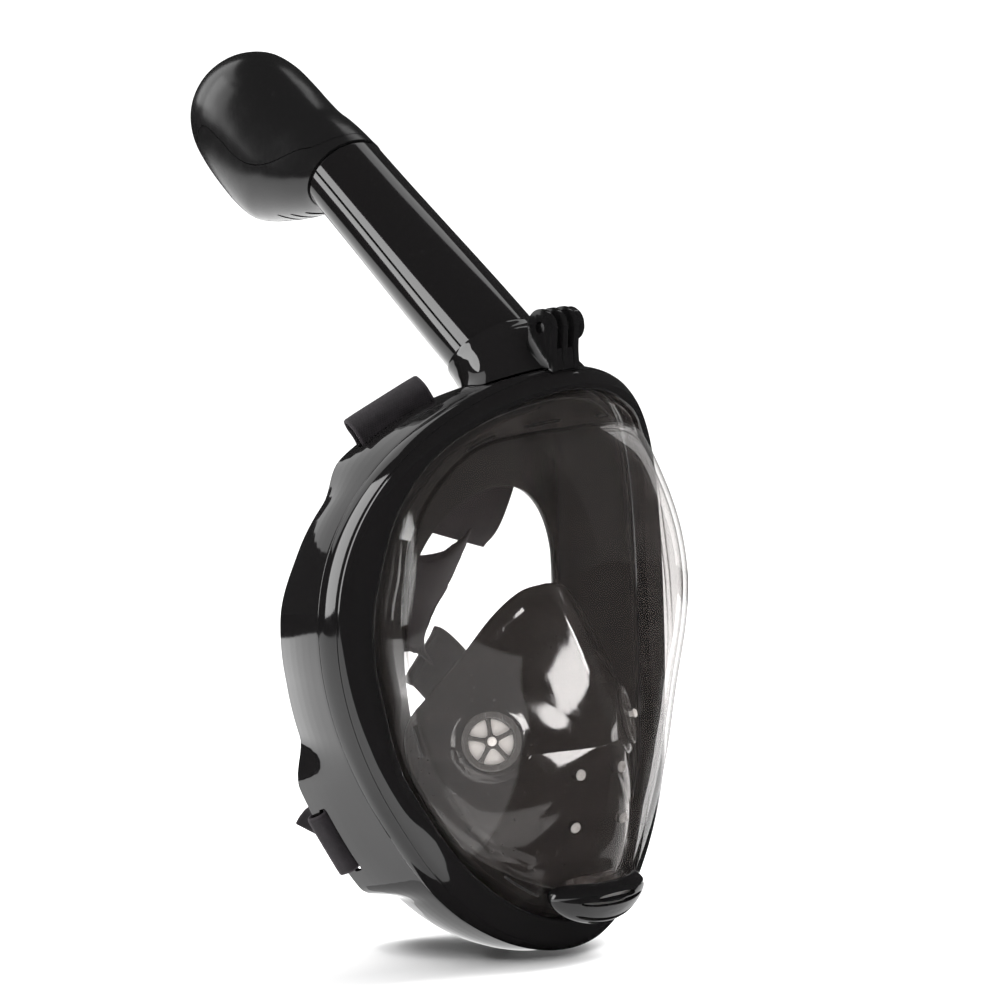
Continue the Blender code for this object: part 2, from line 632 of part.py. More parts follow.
def tube_shell(name, upper, mat):
    """One of the two moulded shells of the tube: an oval arc with a wall, split along its sides."""
    wall, split = 0.0020, 0.004
    rows = []
    for s in (SEAM_S + 0.0012, 0.012, 0.040, 0.07, 0.095, CAP_S0 - 0.0008):
        a, b = tube_size(s)
        th0 = np.arcsin((split + (GAP / 2 if upper else -GAP / 2)) / b)
        th = np.linspace(th0, pi - th0, 21) if upper else np.linspace(pi - th0, 2 * pi + th0, 27)
        ai, bi = a - wall, b - wall
        ti0 = np.arcsin((split + (GAP / 2 if upper else -GAP / 2)) / bi)
        ti = np.linspace(ti0, pi - ti0, 21) if upper else np.linspace(pi - ti0, 2 * pi + ti0, 27)
        w = 0.0026 * smooth((s - 0.095) / 0.022) - 0.003 * (1 - smooth((s - SEAM_S) / 0.03))
        out = tube_pt(a * np.cos(th), b * np.sin(th), s + w * np.sin(th))
        inn = tube_pt(ai * np.cos(ti), bi * np.sin(ti), s + w * np.sin(ti))
        rows.append(np.vstack([out, inn[::-1]]))
    return loft(name, np.stack(rows), ends="ribbon", mat=mat)


def tube_core(mat):
    """Inner duct of the tube: oval wall with one partition, from the socket up into the cap."""
    th = np.linspace(0, 2 * pi, 36, endpoint=False)
    outer = [(CORE_A * cos(a), CORE_B * sin(a)) for a in th]
    ai, bi, w = CORE_A - 0.0016, CORE_B - 0.0016, 0.0007
    holes = []
    for sgn in (1, -1):
        a0 = np.arcsin((3.0 * MM + w) / bi) if sgn > 0 else np.arcsin((3.0 * MM - w) / bi)
        arc = np.linspace(a0, pi - a0, 18) if sgn > 0 else np.linspace(pi - a0, 2 * pi + a0, 22)
        holes.append([(ai * cos(a), bi * sin(a)) for a in arc])
    length = 0.134
    m = Matrix((Vector((1, 0, 0)), N_AX, -D_AX)).transposed().to_4x4()
    m.translation = TUBE_BASE + D_AX * (-0.007 + length / 2)
    return flat_shape("tube_core", [outer] + holes, length, mat, m)


def o_ring(mat):
    """Seal in the socket's mouth, round the core."""
    th = np.linspace(0, 2 * pi, 32, endpoint=False)
    rows = []
    for k in range(5):
        r = 0.0007
        a = CORE_A + GAP + r + 0.0001 + r * cos(2 * pi * k / 5)
        b = CORE_B + GAP + r + 0.0001 + r * cos(2 * pi * k / 5)
        s = SEAM_S + 0.0022 + r * sin(2 * pi * k / 5)
        rows.append(tube_pt(a * np.cos(th), b * np.sin(th), s - 0.0022 * np.sin(th)))
    return loft("socket_gasket", np.stack(rows), wrap_rows=True, mat=mat)


CAP_ROWS = [  # along the axis, half width, upper side, lower side (mm)
    (118.4, 20.6, 16.8, -17.2), (122.0, 21.6, 16.8, -24.5), (127.0, 22.8, 16.7, -32.0),
    (132.5, 23.6, 16.4, -38.5), (138.5, 24.2, 15.6, -44.2), (145.0, 24.8, 14.2, -48.6),
    (154.0, 25.0, 13.6, -50.4), (166.0, 24.9, 13.4, -50.4), (178.0, 24.2, 12.4, -49.4),
    (189.0, 22.0, 8.8, -47.2), (198.0, 17.2, 1.4, -43.0), (204.0, 11.2, -7.4, -36.8),
    (207.4, 4.8, -16.2, -29.6)]


def cap_rings(inset):
    th = np.linspace(0, 2 * pi, 30, endpoint=False)
    rows = []
    for s, a, hi, lo in CAP_ROWS:
        mid, half = (hi + lo) / 2, (hi - lo) / 2
        a, half = (a - inset) * MM, (half - inset) * MM
        tilt = 2.6 * (1 - smooth((s - 118) / 16))
        s = s - 0.9 * inset * smooth((s - 176) / 22) + 0.9 * inset * (1 - smooth((s - 118) / 14))
        rows.append(tube_pt(a * np.cos(th), mid * MM + half * np.sin(th), (s + tilt * np.sin(th)) * MM))
    return rows


def hollow_cap(name, mat):
    th = np.linspace(0, 2 * pi, 30, endpoint=False)
    out, inn = cap_rings(0.0), cap_rings(2.0)
    n = (CORE_B + 0.0005) * np.sin(th)
    neck_o = tube_pt((CORE_A + 0.0005) * np.cos(th), n, 0.1184 + 0.0026 * np.sin(th))
    neck_i = tube_pt((CORE_A + 0.0005) * np.cos(th), n, 0.1206 + 0.0026 * np.sin(th))
    tip_i = inn[-1]
    P = [tip_i] + inn[::-1][1:-1] + [neck_i, neck_o] + out
    return loft(name, np.stack(P), mat=mat)


def seam_tool(name, shift):
    """Big block whose lower side follows the seam between cap shell and cap base."""
    line = [(184.5, -70.0), (184.0, -31.0), (181.0, -23.5), (168.0, -20.8), (157.0, -20.3),
            (147.0, -16.6), (139.0, -9.0), (131.5, 4.0), (126.5, 11.0), (122.5, 30.0), (122.5, 60.0),
            (230.0, 60.0), (230.0, -70.0)]
    pts = []
    for k, (s, n) in enumerate(line):
        if k < 10:
            a, b = np.array(line[max(k - 1, 0)]), np.array(line[k + 1])
            d = (b - a) / np.linalg.norm(b - a)
            s, n = s - shift * d[1] * -1, n + shift * d[0] * -1
        pts.append((s, n))
    v = [tuple(tube_pt(np.array(x), np.array(n * MM), np.array(s * MM))) for x in (-0.05, 0.05)
         for s, n in pts]
    n = len(pts)
    f = [tuple(range(n)), tuple(range(2 * n - 1, n - 1, -1))]
    f += [(k, (k + 1) % n, n + (k + 1) % n, n + k) for k in range(n)]
    return mesh_object(name, v, f, tool=True, shade=False)


def cap_parts(mat):
    """Cap shell above the seam and vented base below it, cut from the same hollow cap."""
    shell = hollow_cap("cap_shell", mat)
    cut(shell, seam_tool("seam_high", 0.25), 'INTERSECT')
    base = hollow_cap("cap_base", mat)
    cut(base, seam_tool("seam_low", -0.15))
    for k, (n, half) in enumerate(((-0.0225, 0.010), (-0.0275, 0.012), (-0.0325, 0.013))):
        m = Matrix((Vector((1, 0, 0)), N_AX, D_AX)).transposed().to_4x4()
        m.translation = Vector(tube_pt(np.array(0.0), np.array(n), np.array(0.125)))
        cut(base, box_tool("drain_%d" % k, m, (2 * half, 0.0018, 0.03)))
    return shell, base


FLOAT_N, FLOAT_S = -0.0315, 0.1420


def float_matrix(s):
    m = Matrix((Vector((1, 0, 0)), N_AX, -D_AX)).transposed().to_4x4()
    m.translation = Vector(tube_pt(np.array(0.0), np.array(FLOAT_N), np.array(s)))
    return m


def float_block(mat):
    """Hollow-look float, a rounded cylinder riding up and down the rear chamber."""
    prof = [(0, 0.0), (0.0080, 0.0), (0.0098, -0.0014), (0.0102, -0.0040), (0.0102, -0.0130),
            (0.0094, -0.0154), (0.0070, -0.0160), (0, -0.0160)]
    m = float_matrix(FLOAT_S)
    return turned("float_block", prof, m, mat, steps=28)


def float_seal(mat):
    """Soft disc on the float's top that closes the air inlet."""
    prof = [(0, -0.0163), (0.0090, -0.0163), (0.0094, -0.0170), (0.0088, -0.0180), (0, -0.0184)]
    return turned("float_seal", prof, float_matrix(FLOAT_S), mat, steps=28)


def valve_plate(mat):
    """Plate across the rear chamber with the air inlet above the float."""
    s = FLOAT_S + 0.0184 + FLOAT_LIFT + 0.0012
    out = []
    row = [np.interp(s * 1000 + 0.0, [r[0] for r in CAP_ROWS], [r[k] for r in CAP_ROWS]) for k in (1, 2, 3)]
    mid, half, a = (row[1] + row[2]) / 2, (row[1] - row[2]) / 2 - 2.5, row[0] - 2.5
    for k in np.linspace(0, 2 * pi, 44, endpoint=False):
        n = (mid + half * sin(k)) * MM
        out.append((a * MM * cos(k), min(n, -CORE_B - 0.0006)))
    hole = [(0.0072 * cos(k), FLOAT_N + 0.0066 * sin(k)) for k in np.linspace(0, 2 * pi, 28, endpoint=False)]
    m = Matrix((Vector((1, 0, 0)), N_AX, -D_AX)).transposed().to_4x4()
    m.translation = TUBE_BASE + D_AX * (s + 0.0006)
    return flat_shape("valve_plate", [out, hole], 0.0012, mat, m)


# ---------------------------------------------------------------- harness
def strap(name, path, width_dirs, width, mat):
    """Flat band along a path: each cross-section is a thin rectangle with eased edges."""
    P, W = np.asarray(path), np.asarray(width_dirs)
    tan = np.gradient(P, axis=0)
    tan /= np.linalg.norm(tan, axis=1)[:, None]
    W = W - (W * tan).sum(1)[:, None] * tan
    W /= np.linalg.norm(W, axis=1)[:, None]
    N = np.cross(tan, W)
    h, e = STRAP_T / 2, STRAP_T * 0.3
    corners = [(-width / 2, 0.0), (-width / 2 + e, -h), (width / 2 - e, -h), (width / 2, 0.0),
               (width / 2 - e, h), (-width / 2 + e, h)]
    rows = np.stack([P + w * W + n * N for w, n in corners], axis=1)
    return loft(name, rows, mat=mat)


def harness_y(z):
    """Depth of the slack harness behind the face opening at height z."""
    return np.interp(z, [-0.075, -0.03, 0.0, 0.02, 0.056, 0.10], [0.012, 0.036, 0.042, 0.032, 0.006, -0.010])


def arm(label, at, hand, side, loose, corner, corner_dir, mat):
    """Strap arm: sewn end on the pad, out through the lug's slot, round its bar and back on itself."""
    p, tan, out, back = lug_frame(at, side)
    bar = p + back * ((SLOT_W + BAR_W) / 2)
    loop = loose
    pts = [bar + out * (n * MM) + back * (d * MM) for n, d in loop]
    c = Vector(corner)
    first = Vector(pts[-1])
    d1 = (pts[-1] - pts[-2]).normalized()
    cd = Vector(corner_dir).normalized()
    lead = [first + (d1 * 0.012), c - cd * 0.014, c]
    pts = pts + lead
    path = spline([tuple(q) for q in pts], 30)
    k = np.linspace(0, 1, 30)
    w0, w1 = np.array(tan), np.array(Vector((0, 0, 1)).cross(Vector((0, 1, 0)))) * 0
    w1 = np.cross(np.array(cd), np.array([0.0, 1.0, 0.35]))
    if np.dot(w0, w1) < 0:
        w1 = -w1
    kk = smooth((k - 0.55) / 0.4)[:, None]
    wide = STRAP_W_UP if label == "upper" else STRAP_W
    return strap("strap_%s_%s" % (label, hand), path, w0 * (1 - kk) + w1 * kk, wide, mat)


def harness_pad(mat):
    """Back pad joining the four arms, waisted, a closed soft plate."""
    nv = 13
    v = np.linspace(-1, 1, nv)
    z = 0.022 + 0.032 * v
    half = np.interp(z, [-0.010, -0.002, 0.005, 0.014, 0.024, 0.042, 0.054],
                     [0.0235, 0.0195, 0.0165, 0.0180, 0.0225, 0.0240, 0.0235])
    u = np.linspace(-1, 1, 7)
    verts, faces = [], []
    for k in range(nv):
        for uu in u:
            x = half[k] * uu
            notch = 0.010 * (1 - uu * uu) * smooth((abs(v[k]) - 0.55) / 0.45) * np.sign(v[k])
            zz = z[k] - notch
            verts.append((x, harness_y(zz) + 0.003 * uu * uu, zz))
    for k in range(nv - 1):
        for j in range(6):
            a = k * 7 + j
            faces.append((a, a + 1, a + 8, a + 7))
    ob = mesh_object("harness_pad", verts, faces, mat=mat)
    solidify(ob, 0.0030)
    return ob


# ---------------------------------------------------------------- build
BLACK = material("gloss_black", (0.012, 0.012, 0.014), 0.12)
CLEAR = material("clear_lens", (0.86, 0.88, 0.88), 0.03, alpha=0.3)
BEZEL = material("bezel_black", (0.010, 0.010, 0.011), 0.15)
SEAL = material("black_silicone", (0.020, 0.020, 0.022), 0.5)
CUP = material("smoke_silicone", (0.045, 0.042, 0.042), 0.25)
GRID = material("grid_plastic", (0.75, 0.75, 0.74), 0.3)
FLAP = material("flap_silicone", (0.60, 0.60, 0.58), 0.4)
STEEL = material("stud_plastic", (0.42, 0.42, 0.42), 0.25)
FABRIC = material("strap_fabric", (0.035, 0.028, 0.034), 0.9)
COVER = material("cover_black", (0.010, 0.010, 0.012), 0.1)
MOUNT = material("mount_black", (0.016, 0.016, 0.017), 0.2)
NECK = material("neck_black", (0.011, 0.011, 0.013), 0.12)
TUBE = material("tube_black", (0.010, 0.010, 0.012), 0.1)
CORE = material("core_plastic", (0.08, 0.08, 0.085), 0.4)
RUBBER = material("gasket_rubber", (0.03, 0.03, 0.03), 0.6)
CAPM = material("cap_black", (0.018, 0.018, 0.020), 0.3)
FLOATM = material("float_white", (0.80, 0.80, 0.78), 0.4)
PLATE = material("valve_plate_plastic", (0.05, 0.05, 0.055), 0.4)

lens_ob = lens(CLEAR)
front_bezel(BEZEL)
frame_ob = rear_frame(BLACK)
cut_slots(frame_ob)
face_skirt(SEAL)
cup_ob = orinasal_cup(CUP)
for hand_name, sgn in (("left", 1), ("right", -1)):
    inhale_grid(hand_name, sgn, GRID)
    flap = inhale_flap(hand_name, sgn, FLAP)
    bore = turned("grid_bore_" + hand_name, [(0, 0.02), (GRID_R + GAP, 0.02), (GRID_R + GAP, -0.02),
                                              (0, -0.02)], grid_frame(sgn), None, steps=40, tool=True)
    cut(cup_ob, bore)
chin_seat(PLATE)
chin_flap_ob = chin_flap(FLAP)
chin_cover(COVER)
cut(lens_ob, loft("chin_port", np.stack([chin_ring(0.0189, 0.0056, h) for h in (-0.012, 0.0, 0.012)]),
                  tool=True))
cut(lens_ob, loft("chin_seat_recess", np.stack([chin_ring(0.0255, 0.0104, h) for h in (0.0016, 0.005, 0.010)]),
                  tool=True))
cut(cup_ob, loft("chin_port_cup", np.stack([chin_ring(0.0189, 0.0056, h) for h in (-0.020, -0.004, 0.012)]),
                 tool=True))
studs(STEEL)
neck_ob = neck(NECK)
cut(neck_ob, envelope_tool("seat_of_neck", 0.3))
mount_ob = camera_mount(MOUNT)
cut(mount_ob, loft("neck_clear", np.stack(neck_rings(GAP)), tool=True))
cut(mount_ob, envelope_tool("seat_of_mount", 0.3))
camera_nut(MOUNT)
snorkel = [tube_shell("tube_front_shell", True, TUBE), tube_shell("tube_rear_shell", False, TUBE)]
tube_core(CORE)
snorkel.append(o_ring(RUBBER))
snorkel += cap_parts(CAPM)
float_block(FLOATM)
float_seal(RUBBER)
valve_plate(PLATE)
harness_pad(FABRIC)
TIGHT = [(-14.0, 8.5), (-9.5, 3.4), (-6.0, -1.2), (-3.4, -4.0), (0, -4.5), (2.8, -3.5), (3.7, -0.8),
         (3.4, 2.4), (0.8, 4.4), (-3.2, 5.6), (-8.0, 9.0), (-12.5, 14.0)]
LOOSE = [(-9.4, 14.5), (-6.8, 9.5), (-5.2, 5.5), (-4.6, 1.5), (-4.0, -2.2), (-1.6, -4.4), (2.0, -5.0),
         (6.5, -4.5), (9.6, 0.5), (10.2, 7.0), (6.5, 11.0), (1.0, 12.0), (-4.0, 15.5)]
for hand_name, sgn in (("left", 1), ("right", -1)):
    arm("upper", UPPER_LUG, hand_name, sgn, LOOSE, (0.019 * sgn, 0.0190, 0.0475),
        (-0.30 * sgn, 0.60, -0.80), FABRIC)
    arm("lower", LOWER_LUG, hand_name, sgn, TIGHT, (0.019 * sgn, 0.0483, -0.003),
        (-0.75 * sgn, 0.13, 0.62), FABRIC)
for piece in snorkel:
    set_origin(piece, TUBE_BASE)
set_origin(chin_flap_ob, (0.0, -0.0715, -0.0985))
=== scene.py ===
"""A full face snorkel mask: clear bulged window in a gloss black frame, soft seal and breathing pocket,
woven head straps, a camera fitting on the brow and a leaning dry-top tube."""
import bpy
import bmesh
import numpy as np
from math import pi, sin, cos, radians
from mathutils import Matrix, Vector


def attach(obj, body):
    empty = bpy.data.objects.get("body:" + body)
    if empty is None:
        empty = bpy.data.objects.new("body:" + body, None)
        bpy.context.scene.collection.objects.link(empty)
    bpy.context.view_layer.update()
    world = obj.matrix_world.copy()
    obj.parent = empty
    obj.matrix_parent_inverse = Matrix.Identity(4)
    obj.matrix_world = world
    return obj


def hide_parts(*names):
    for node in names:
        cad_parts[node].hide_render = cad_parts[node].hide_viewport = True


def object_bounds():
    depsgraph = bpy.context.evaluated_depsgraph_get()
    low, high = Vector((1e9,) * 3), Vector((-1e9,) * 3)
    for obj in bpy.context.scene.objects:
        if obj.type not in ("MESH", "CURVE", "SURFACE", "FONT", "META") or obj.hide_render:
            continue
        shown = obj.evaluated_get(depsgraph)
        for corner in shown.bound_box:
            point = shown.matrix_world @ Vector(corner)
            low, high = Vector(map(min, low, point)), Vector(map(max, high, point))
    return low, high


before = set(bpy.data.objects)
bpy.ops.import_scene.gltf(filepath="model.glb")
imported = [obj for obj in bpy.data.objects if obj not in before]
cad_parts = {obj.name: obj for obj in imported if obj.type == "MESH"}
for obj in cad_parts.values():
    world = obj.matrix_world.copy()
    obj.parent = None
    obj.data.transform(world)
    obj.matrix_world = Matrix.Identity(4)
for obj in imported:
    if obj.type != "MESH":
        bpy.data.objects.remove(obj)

cad_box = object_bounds()
MM = 0.001

# ---------------------------------------------------------------- studio
# A white floor under an even white surround that glossy pieces see dark, and soft panels round it. A dark
# card, seen only in reflections, keeps most of the floor out of the gloss. Distances are in metres.
around, above, lean = radians(-43), radians(6.5), radians(-4.5)
to_camera = Vector((sin(around) * cos(above), -cos(around) * cos(above), sin(above)))
side = Vector((cos(around), sin(around), 0))
rise = to_camera.cross(side)
cam_x = cos(lean) * side + sin(lean) * rise
cam_y = -sin(lean) * side + cos(lean) * rise
CAMERA_FAR = 2.5
cam_data = bpy.data.cameras.new("camera")
cam_data.lens = 211.5
cam_data.sensor_width = 36.0
cam_data.shift_x = 0.036
cam_data.shift_y = 0.156
cam_data.clip_start, cam_data.clip_end = 0.05, 60.0
camera = bpy.data.objects.new("camera", cam_data)
bpy.context.scene.collection.objects.link(camera)
turn = Matrix((cam_x, cam_y, to_camera)).transposed().to_4x4()
turn.translation = to_camera * CAMERA_FAR
camera.matrix_world = turn
bpy.context.scene.camera = camera
bpy.context.scene.view_settings.view_transform = 'Standard'

FLOOR_Z = cad_box[0][2] - 0.0015


def panel(name, azimuth, elevation, width, height, radiance, distance=1.6, diffuse=False, only=None):
    """Soft light panel: a rectangle at an azimuth (0 in front, -90 at the wearer's right) and an
    elevation, turned to the object. Its power is radiance x pi x area. It may light only some pieces."""
    a, e = radians(azimuth), radians(elevation)
    d = Vector((sin(a) * cos(e), -cos(a) * cos(e), sin(e)))
    data = bpy.data.lights.new(name, 'AREA')
    data.shape = 'RECTANGLE'
    data.size, data.size_y = width, height
    data.energy = radiance * pi * width * height
    ob = bpy.data.objects.new(name, data)
    bpy.context.scene.collection.objects.link(ob)
    ob.location = Vector((0, -0.02, 0.03)) + d * distance
    ob.rotation_mode = 'QUATERNION'
    ob.rotation_quaternion = d.to_track_quat('Z', 'Y')
    ob.visible_camera = False
    ob.visible_diffuse = diffuse
    if only:
        group = bpy.data.collections.new(name + "_pieces")
        for piece in only:
            group.objects.link(piece)
        ob.light_linking.receiver_collection = group
    return ob


panel("high_left_panel", -166, 36, 1.2, 1.15, 1.5)
panel("high_right_panel", 100, 52, 0.22, 0.7, 1.4)
panel("fill_panel", 70, 34, 1.6, 0.9, 1.6, diffuse=True).visible_glossy = False


def plate_mesh(name, boxes, z, rgb):
    """Flat stage plate of one or more rectangles (x0, x1, y0, y1) at height z, in one matt grey."""
    verts = [(x, y, z) for x0, x1, y0, y1 in boxes for x, y in ((x0, y0), (x1, y0), (x1, y1), (x0, y1))]
    me = bpy.data.meshes.new(name)
    me.from_pydata(verts, [], [(4 * k, 4 * k + 1, 4 * k + 2, 4 * k + 3) for k in range(len(boxes))])
    ob = bpy.data.objects.new(name, me)
    bpy.context.scene.collection.objects.link(ob)
    mt = bpy.data.materials.new(name + "_colour")
    mt.use_nodes = True
    matt = mt.node_tree.nodes["Principled BSDF"]
    matt.inputs["Base Color"].default_value = (rgb, rgb, rgb, 1)
    matt.inputs["Roughness"].default_value = 1.0
    matt.inputs["Specular IOR Level"].default_value = 0.0
    me.materials.append(mt)
    return ob


floor = plate_mesh("floor_white", [(-25, 25, -25, 25)], FLOOR_Z, 0.92)
panel("floor_panel", 60, 50, 0.9, 0.9, 13.0, diffuse=True, only=[floor]).visible_glossy = False
dark_card = plate_mesh("dark_card", [(-0.085, 25, -25, 0.02), (-25, -0.085, -25, -0.30), (-25, -1.3, -0.30, 25),
                                     (0.9, 25, 0.02, 25), (-1.3, 0.9, 1.6, 25)], FLOOR_Z + 0.0006, 0.01)
for flag in ("visible_camera", "visible_diffuse", "visible_shadow", "visible_transmission",
             "visible_volume_scatter"):
    setattr(dark_card, flag, False)
# Two small dark ovals under the mask, unseen by the camera, deepen the shadow where it touches the floor.
for name, x, y, half_x, half_y, lift in (("contact_shade_near", -0.008, -0.026, 0.017, 0.020, 0.003),
                                         ("contact_shade_wide", -0.002, 0.006, 0.026, 0.046, 0.009)):
    th = np.linspace(0, 2 * pi, 48, endpoint=False)
    me = bpy.data.meshes.new(name)
    oval = [(x + half_x * cos(angle), y + half_y * sin(angle), FLOOR_Z + lift) for angle in th]
    me.from_pydata(oval, [], [tuple(range(48))])
    me.materials.append(bpy.data.materials["dark_card_colour"])
    ob = bpy.data.objects.new(name, me)
    bpy.context.scene.collection.objects.link(ob)
    ob.visible_camera = ob.visible_glossy = ob.visible_transmission = False

world = bpy.data.worlds.new("studio")
bpy.context.scene.world = world
world.use_nodes = True
wt = world.node_tree
bg = wt.nodes["Background"]
path = wt.nodes.new("ShaderNodeLightPath")
pick = wt.nodes.new("ShaderNodeMix")
pick.data_type = 'FLOAT'
pick.inputs["A"].default_value = 1.45
pick.inputs["B"].default_value = 0.035
wt.links.new(path.outputs["Is Glossy Ray"], pick.inputs["Factor"])
wt.links.new(pick.outputs["Result"], bg.inputs["Strength"])
bg.inputs["Color"].default_value = (1, 1, 1, 1)

# ---------------------------------------------------------------- rear frame
# The gloss moulded frame that carries everything: a flange under the bezel, a side wall round the
# face, and four slotted lugs for the straps. Black polycarbonate, polished tool finish.
RIM_W, RIM_H, RIM_Y, SWEEP, EGG = 0.092, 0.116, -0.071, 0.045, 0.145
N_ROUND = 336
T = np.linspace(0, 2 * pi, N_ROUND, endpoint=False)


def smooth(x):
    """Eased step: 3x^2 - 2x^3, held at 0 and 1 outside."""
    x = np.clip(x, 0.0, 1.0)
    return x * x * (3.0 - 2.0 * x)


def degrees_off(t):
    """Angle from the brow in degrees, 0 at the top and 180 at the chin, the same on both sides."""
    return np.degrees(np.abs(np.arctan2(np.sin(t), np.cos(t))))


def bump(t, at, half, edge=7.0):
    """1 within half degrees of +-at, fading to 0 over edge degrees."""
    return smooth(1 - (np.abs(degrees_off(t) - at) - half) / edge)


def breadth(t):
    """Egg outline: sin t, widened above the middle by the cosine terms."""
    return np.sin(t) * (1 + EGG * np.cos(t) + 0.03 * np.cos(2 * t))


def rim(t, dw=0.0, dy=0.0):
    """The mask's rim curve, moved dw mm outward and dy mm back: x from the egg's breadth, z from
    cos t, y swept back with breadth^1.8, leaned by 5% of z and tucked back 8 mm below the chin."""
    f = breadth(t)
    dw = np.asarray(dw) + 0 * f
    x = (RIM_W + dw * MM) * f
    z = (RIM_H + 1.15 * dw * MM) * np.cos(t)
    y = RIM_Y + np.asarray(dy) * MM + SWEEP * np.abs(f) ** 1.8 - 0.05 * z
    y = y + 0.008 * smooth((-np.cos(t) - 0.45) / 0.55)
    return np.stack([x, y, z], -1)


def lip(t):
    """How far the bezel laps over the window: 0 at the brow, 1 at the sides, half below."""
    c = np.cos(t)
    return smooth((0.866 - c) / 0.491) * (1 - 0.5 * smooth((-c - 0.05) / 0.35))


def seal_flare(t):
    """How far in mm the side wall leans out at its rear edge, where the seal lines it: more below."""
    return np.interp(degrees_off(t), [0, 90, 125, 180], [0.0, 0.0, 5.0, 6.5])


def frame_flare(t):
    """The side wall's lean plus the bulges of the strap lugs, 9 mm at 121 and 2 mm at 27 degrees."""
    return seal_flare(t) + 9.0 * bump(t, 121, 11, 9) + 2.0 * bump(t, 27, 12, 12)


def frame_depth(t):
    """Depth of the side wall in mm: 36, 7 more at the sides, longer at the lugs, shorter between them."""
    lugs = 7.0 * bump(t, 27, 12, 12)
    return 36.0 + 7.0 * np.abs(breadth(t)) ** 1.8 + lugs + 2.0 * bump(t, 121, 11, 9) - 3.0 * bump(t, 56, 6, 14)


def eased(section, radius, steps=4, closed=True):
    """Rounds each corner of a polyline section: the corner becomes a quadratic arc between points
    radius mm along its two edges. section[k, angle, 2]; radius one number or one a corner."""
    S = np.asarray(section, float)
    K = len(S)
    prev, nxt = np.roll(S, 1, 0), np.roll(S, -1, 0)
    r = np.broadcast_to(np.asarray(radius, float), (K,))[:, None, None]
    d1, d2 = prev - S, nxt - S
    l1 = np.linalg.norm(d1, axis=-1, keepdims=True) + 1e-9
    l2 = np.linalg.norm(d2, axis=-1, keepdims=True) + 1e-9
    a = S + d1 * np.minimum(r / l1, 0.48)
    c = S + d2 * np.minimum(r / l2, 0.48)
    if not closed:
        a[0], c[0], a[-1], c[-1] = S[0], S[0], S[-1], S[-1]
    u = np.linspace(0, 1, steps)[None, :, None, None]
    out = (1 - u) ** 2 * a[:, None] + 2 * u * (1 - u) * S[:, None] + u ** 2 * c[:, None]
    return out.reshape(K * steps, *S.shape[1:])


def stack(section, t=None):
    """Section rows of (dw, dy), numbers or arrays, as one array [k, angle, 2]."""
    t = T if t is None else t
    return np.stack([np.stack([a + 0 * t, b + 0 * t], -1) for a, b in section])


def skin(name, P, wrap_rows=False, wrap_cols=True, cap_first=False, cap_last=False, uv=None, out=True,
         flat=False):
    """Mesh over a grid of points P[row, column, xyz]: quads between neighbours, closed across rows or
    columns where asked, each capped end fanned to its mean point, or flat across it. Faces turn out."""
    P = np.asarray(P, float)
    nr, nc = P.shape[:2]
    ri, ci = np.arange(nr if wrap_rows else nr - 1), np.arange(nc if wrap_cols else nc - 1)
    R, C = np.meshgrid(ri, ci, indexing="ij")
    R1, C1 = (R + 1) % nr, (C + 1) % nc
    quads = np.stack([R * nc + C, R * nc + C1, R1 * nc + C1, R1 * nc + C], -1).reshape(-1, 4)
    verts = P.reshape(-1, 3)
    faces = quads.tolist()
    for row, wanted in ((0, cap_first), (nr - 1, cap_last)):
        if wanted and flat:
            faces.append(list(range(row * nc, (row + 1) * nc)))
        elif wanted:
            c = len(verts)
            verts = np.vstack([verts, P[row].mean(axis=0)])
            k = np.arange(nc)
            faces += np.stack([row * nc + k, row * nc + (k + 1) % nc, 0 * k + c], -1).tolist()
    me = bpy.data.meshes.new(name)
    me.from_pydata(verts.tolist(), [], faces)
    if uv is not None:
        layer = me.uv_layers.new(name="UVMap")
        U = np.asarray(uv, float).reshape(-1, 2)
        loops = np.zeros(len(me.loops), dtype=np.int32)
        me.loops.foreach_get("vertex_index", loops)
        U = np.vstack([U, np.zeros((len(verts) - len(U), 2))])
        layer.data.foreach_set("uv", U[loops].ravel())
    if out:
        bm = bmesh.new()
        bm.from_mesh(me)
        bmesh.ops.recalc_face_normals(bm, faces=bm.faces)
        bm.to_mesh(me)
        bm.free()
    me.polygons.foreach_set("use_smooth", [True] * len(me.polygons))
    me.update()
    ob = bpy.data.objects.new(name, me)
    bpy.context.scene.collection.objects.link(ob)
    return ob


def finish_modifiers(ob):
    """Applies the piece's modifiers to its mesh."""
    dg = bpy.context.evaluated_depsgraph_get()
    me = bpy.data.meshes.new_from_object(ob.evaluated_get(dg))
    ob.modifiers.clear()
    old = ob.data
    ob.data = me
    me.name = ob.name
    bpy.data.meshes.remove(old)
    return ob


def carve(ob, tools, op='DIFFERENCE'):
    """Cuts the tools out of the piece, then removes them."""
    for tool in tools:
        m = ob.modifiers.new("cut", 'BOOLEAN')
        m.operation, m.solver, m.object = op, 'EXACT', tool
    finish_modifiers(ob)
    for tool in tools:
        bpy.data.objects.remove(tool, do_unlink=True)
    me = ob.data
    me.polygons.foreach_set("use_smooth", [True] * len(me.polygons))
    me.set_sharp_from_angle(angle=radians(38))
    return ob


def rounded_bar(name, middle, ax, ay, az, size, power=5.0, n=40, rows=2):
    """Bar with a superellipse outline |x/a|^p + |z/c|^p = 1, carried straight along ay."""
    th = np.linspace(0, 2 * pi, n, endpoint=False)
    c, s = np.cos(th), np.sin(th)
    u = np.sign(c) * np.abs(c) ** (2 / power) * size[0] / 2
    w = np.sign(s) * np.abs(s) ** (2 / power) * size[2] / 2
    v = np.linspace(-0.5, 0.5, rows) * size[1]
    m, ax, ay, az = (np.array(q, float) for q in (middle, ax, ay, az))
    P = m + u[None, :, None] * ax + v[:, None, None] * ay + w[None, :, None] * az
    return skin(name, P, cap_first=True, cap_last=True)


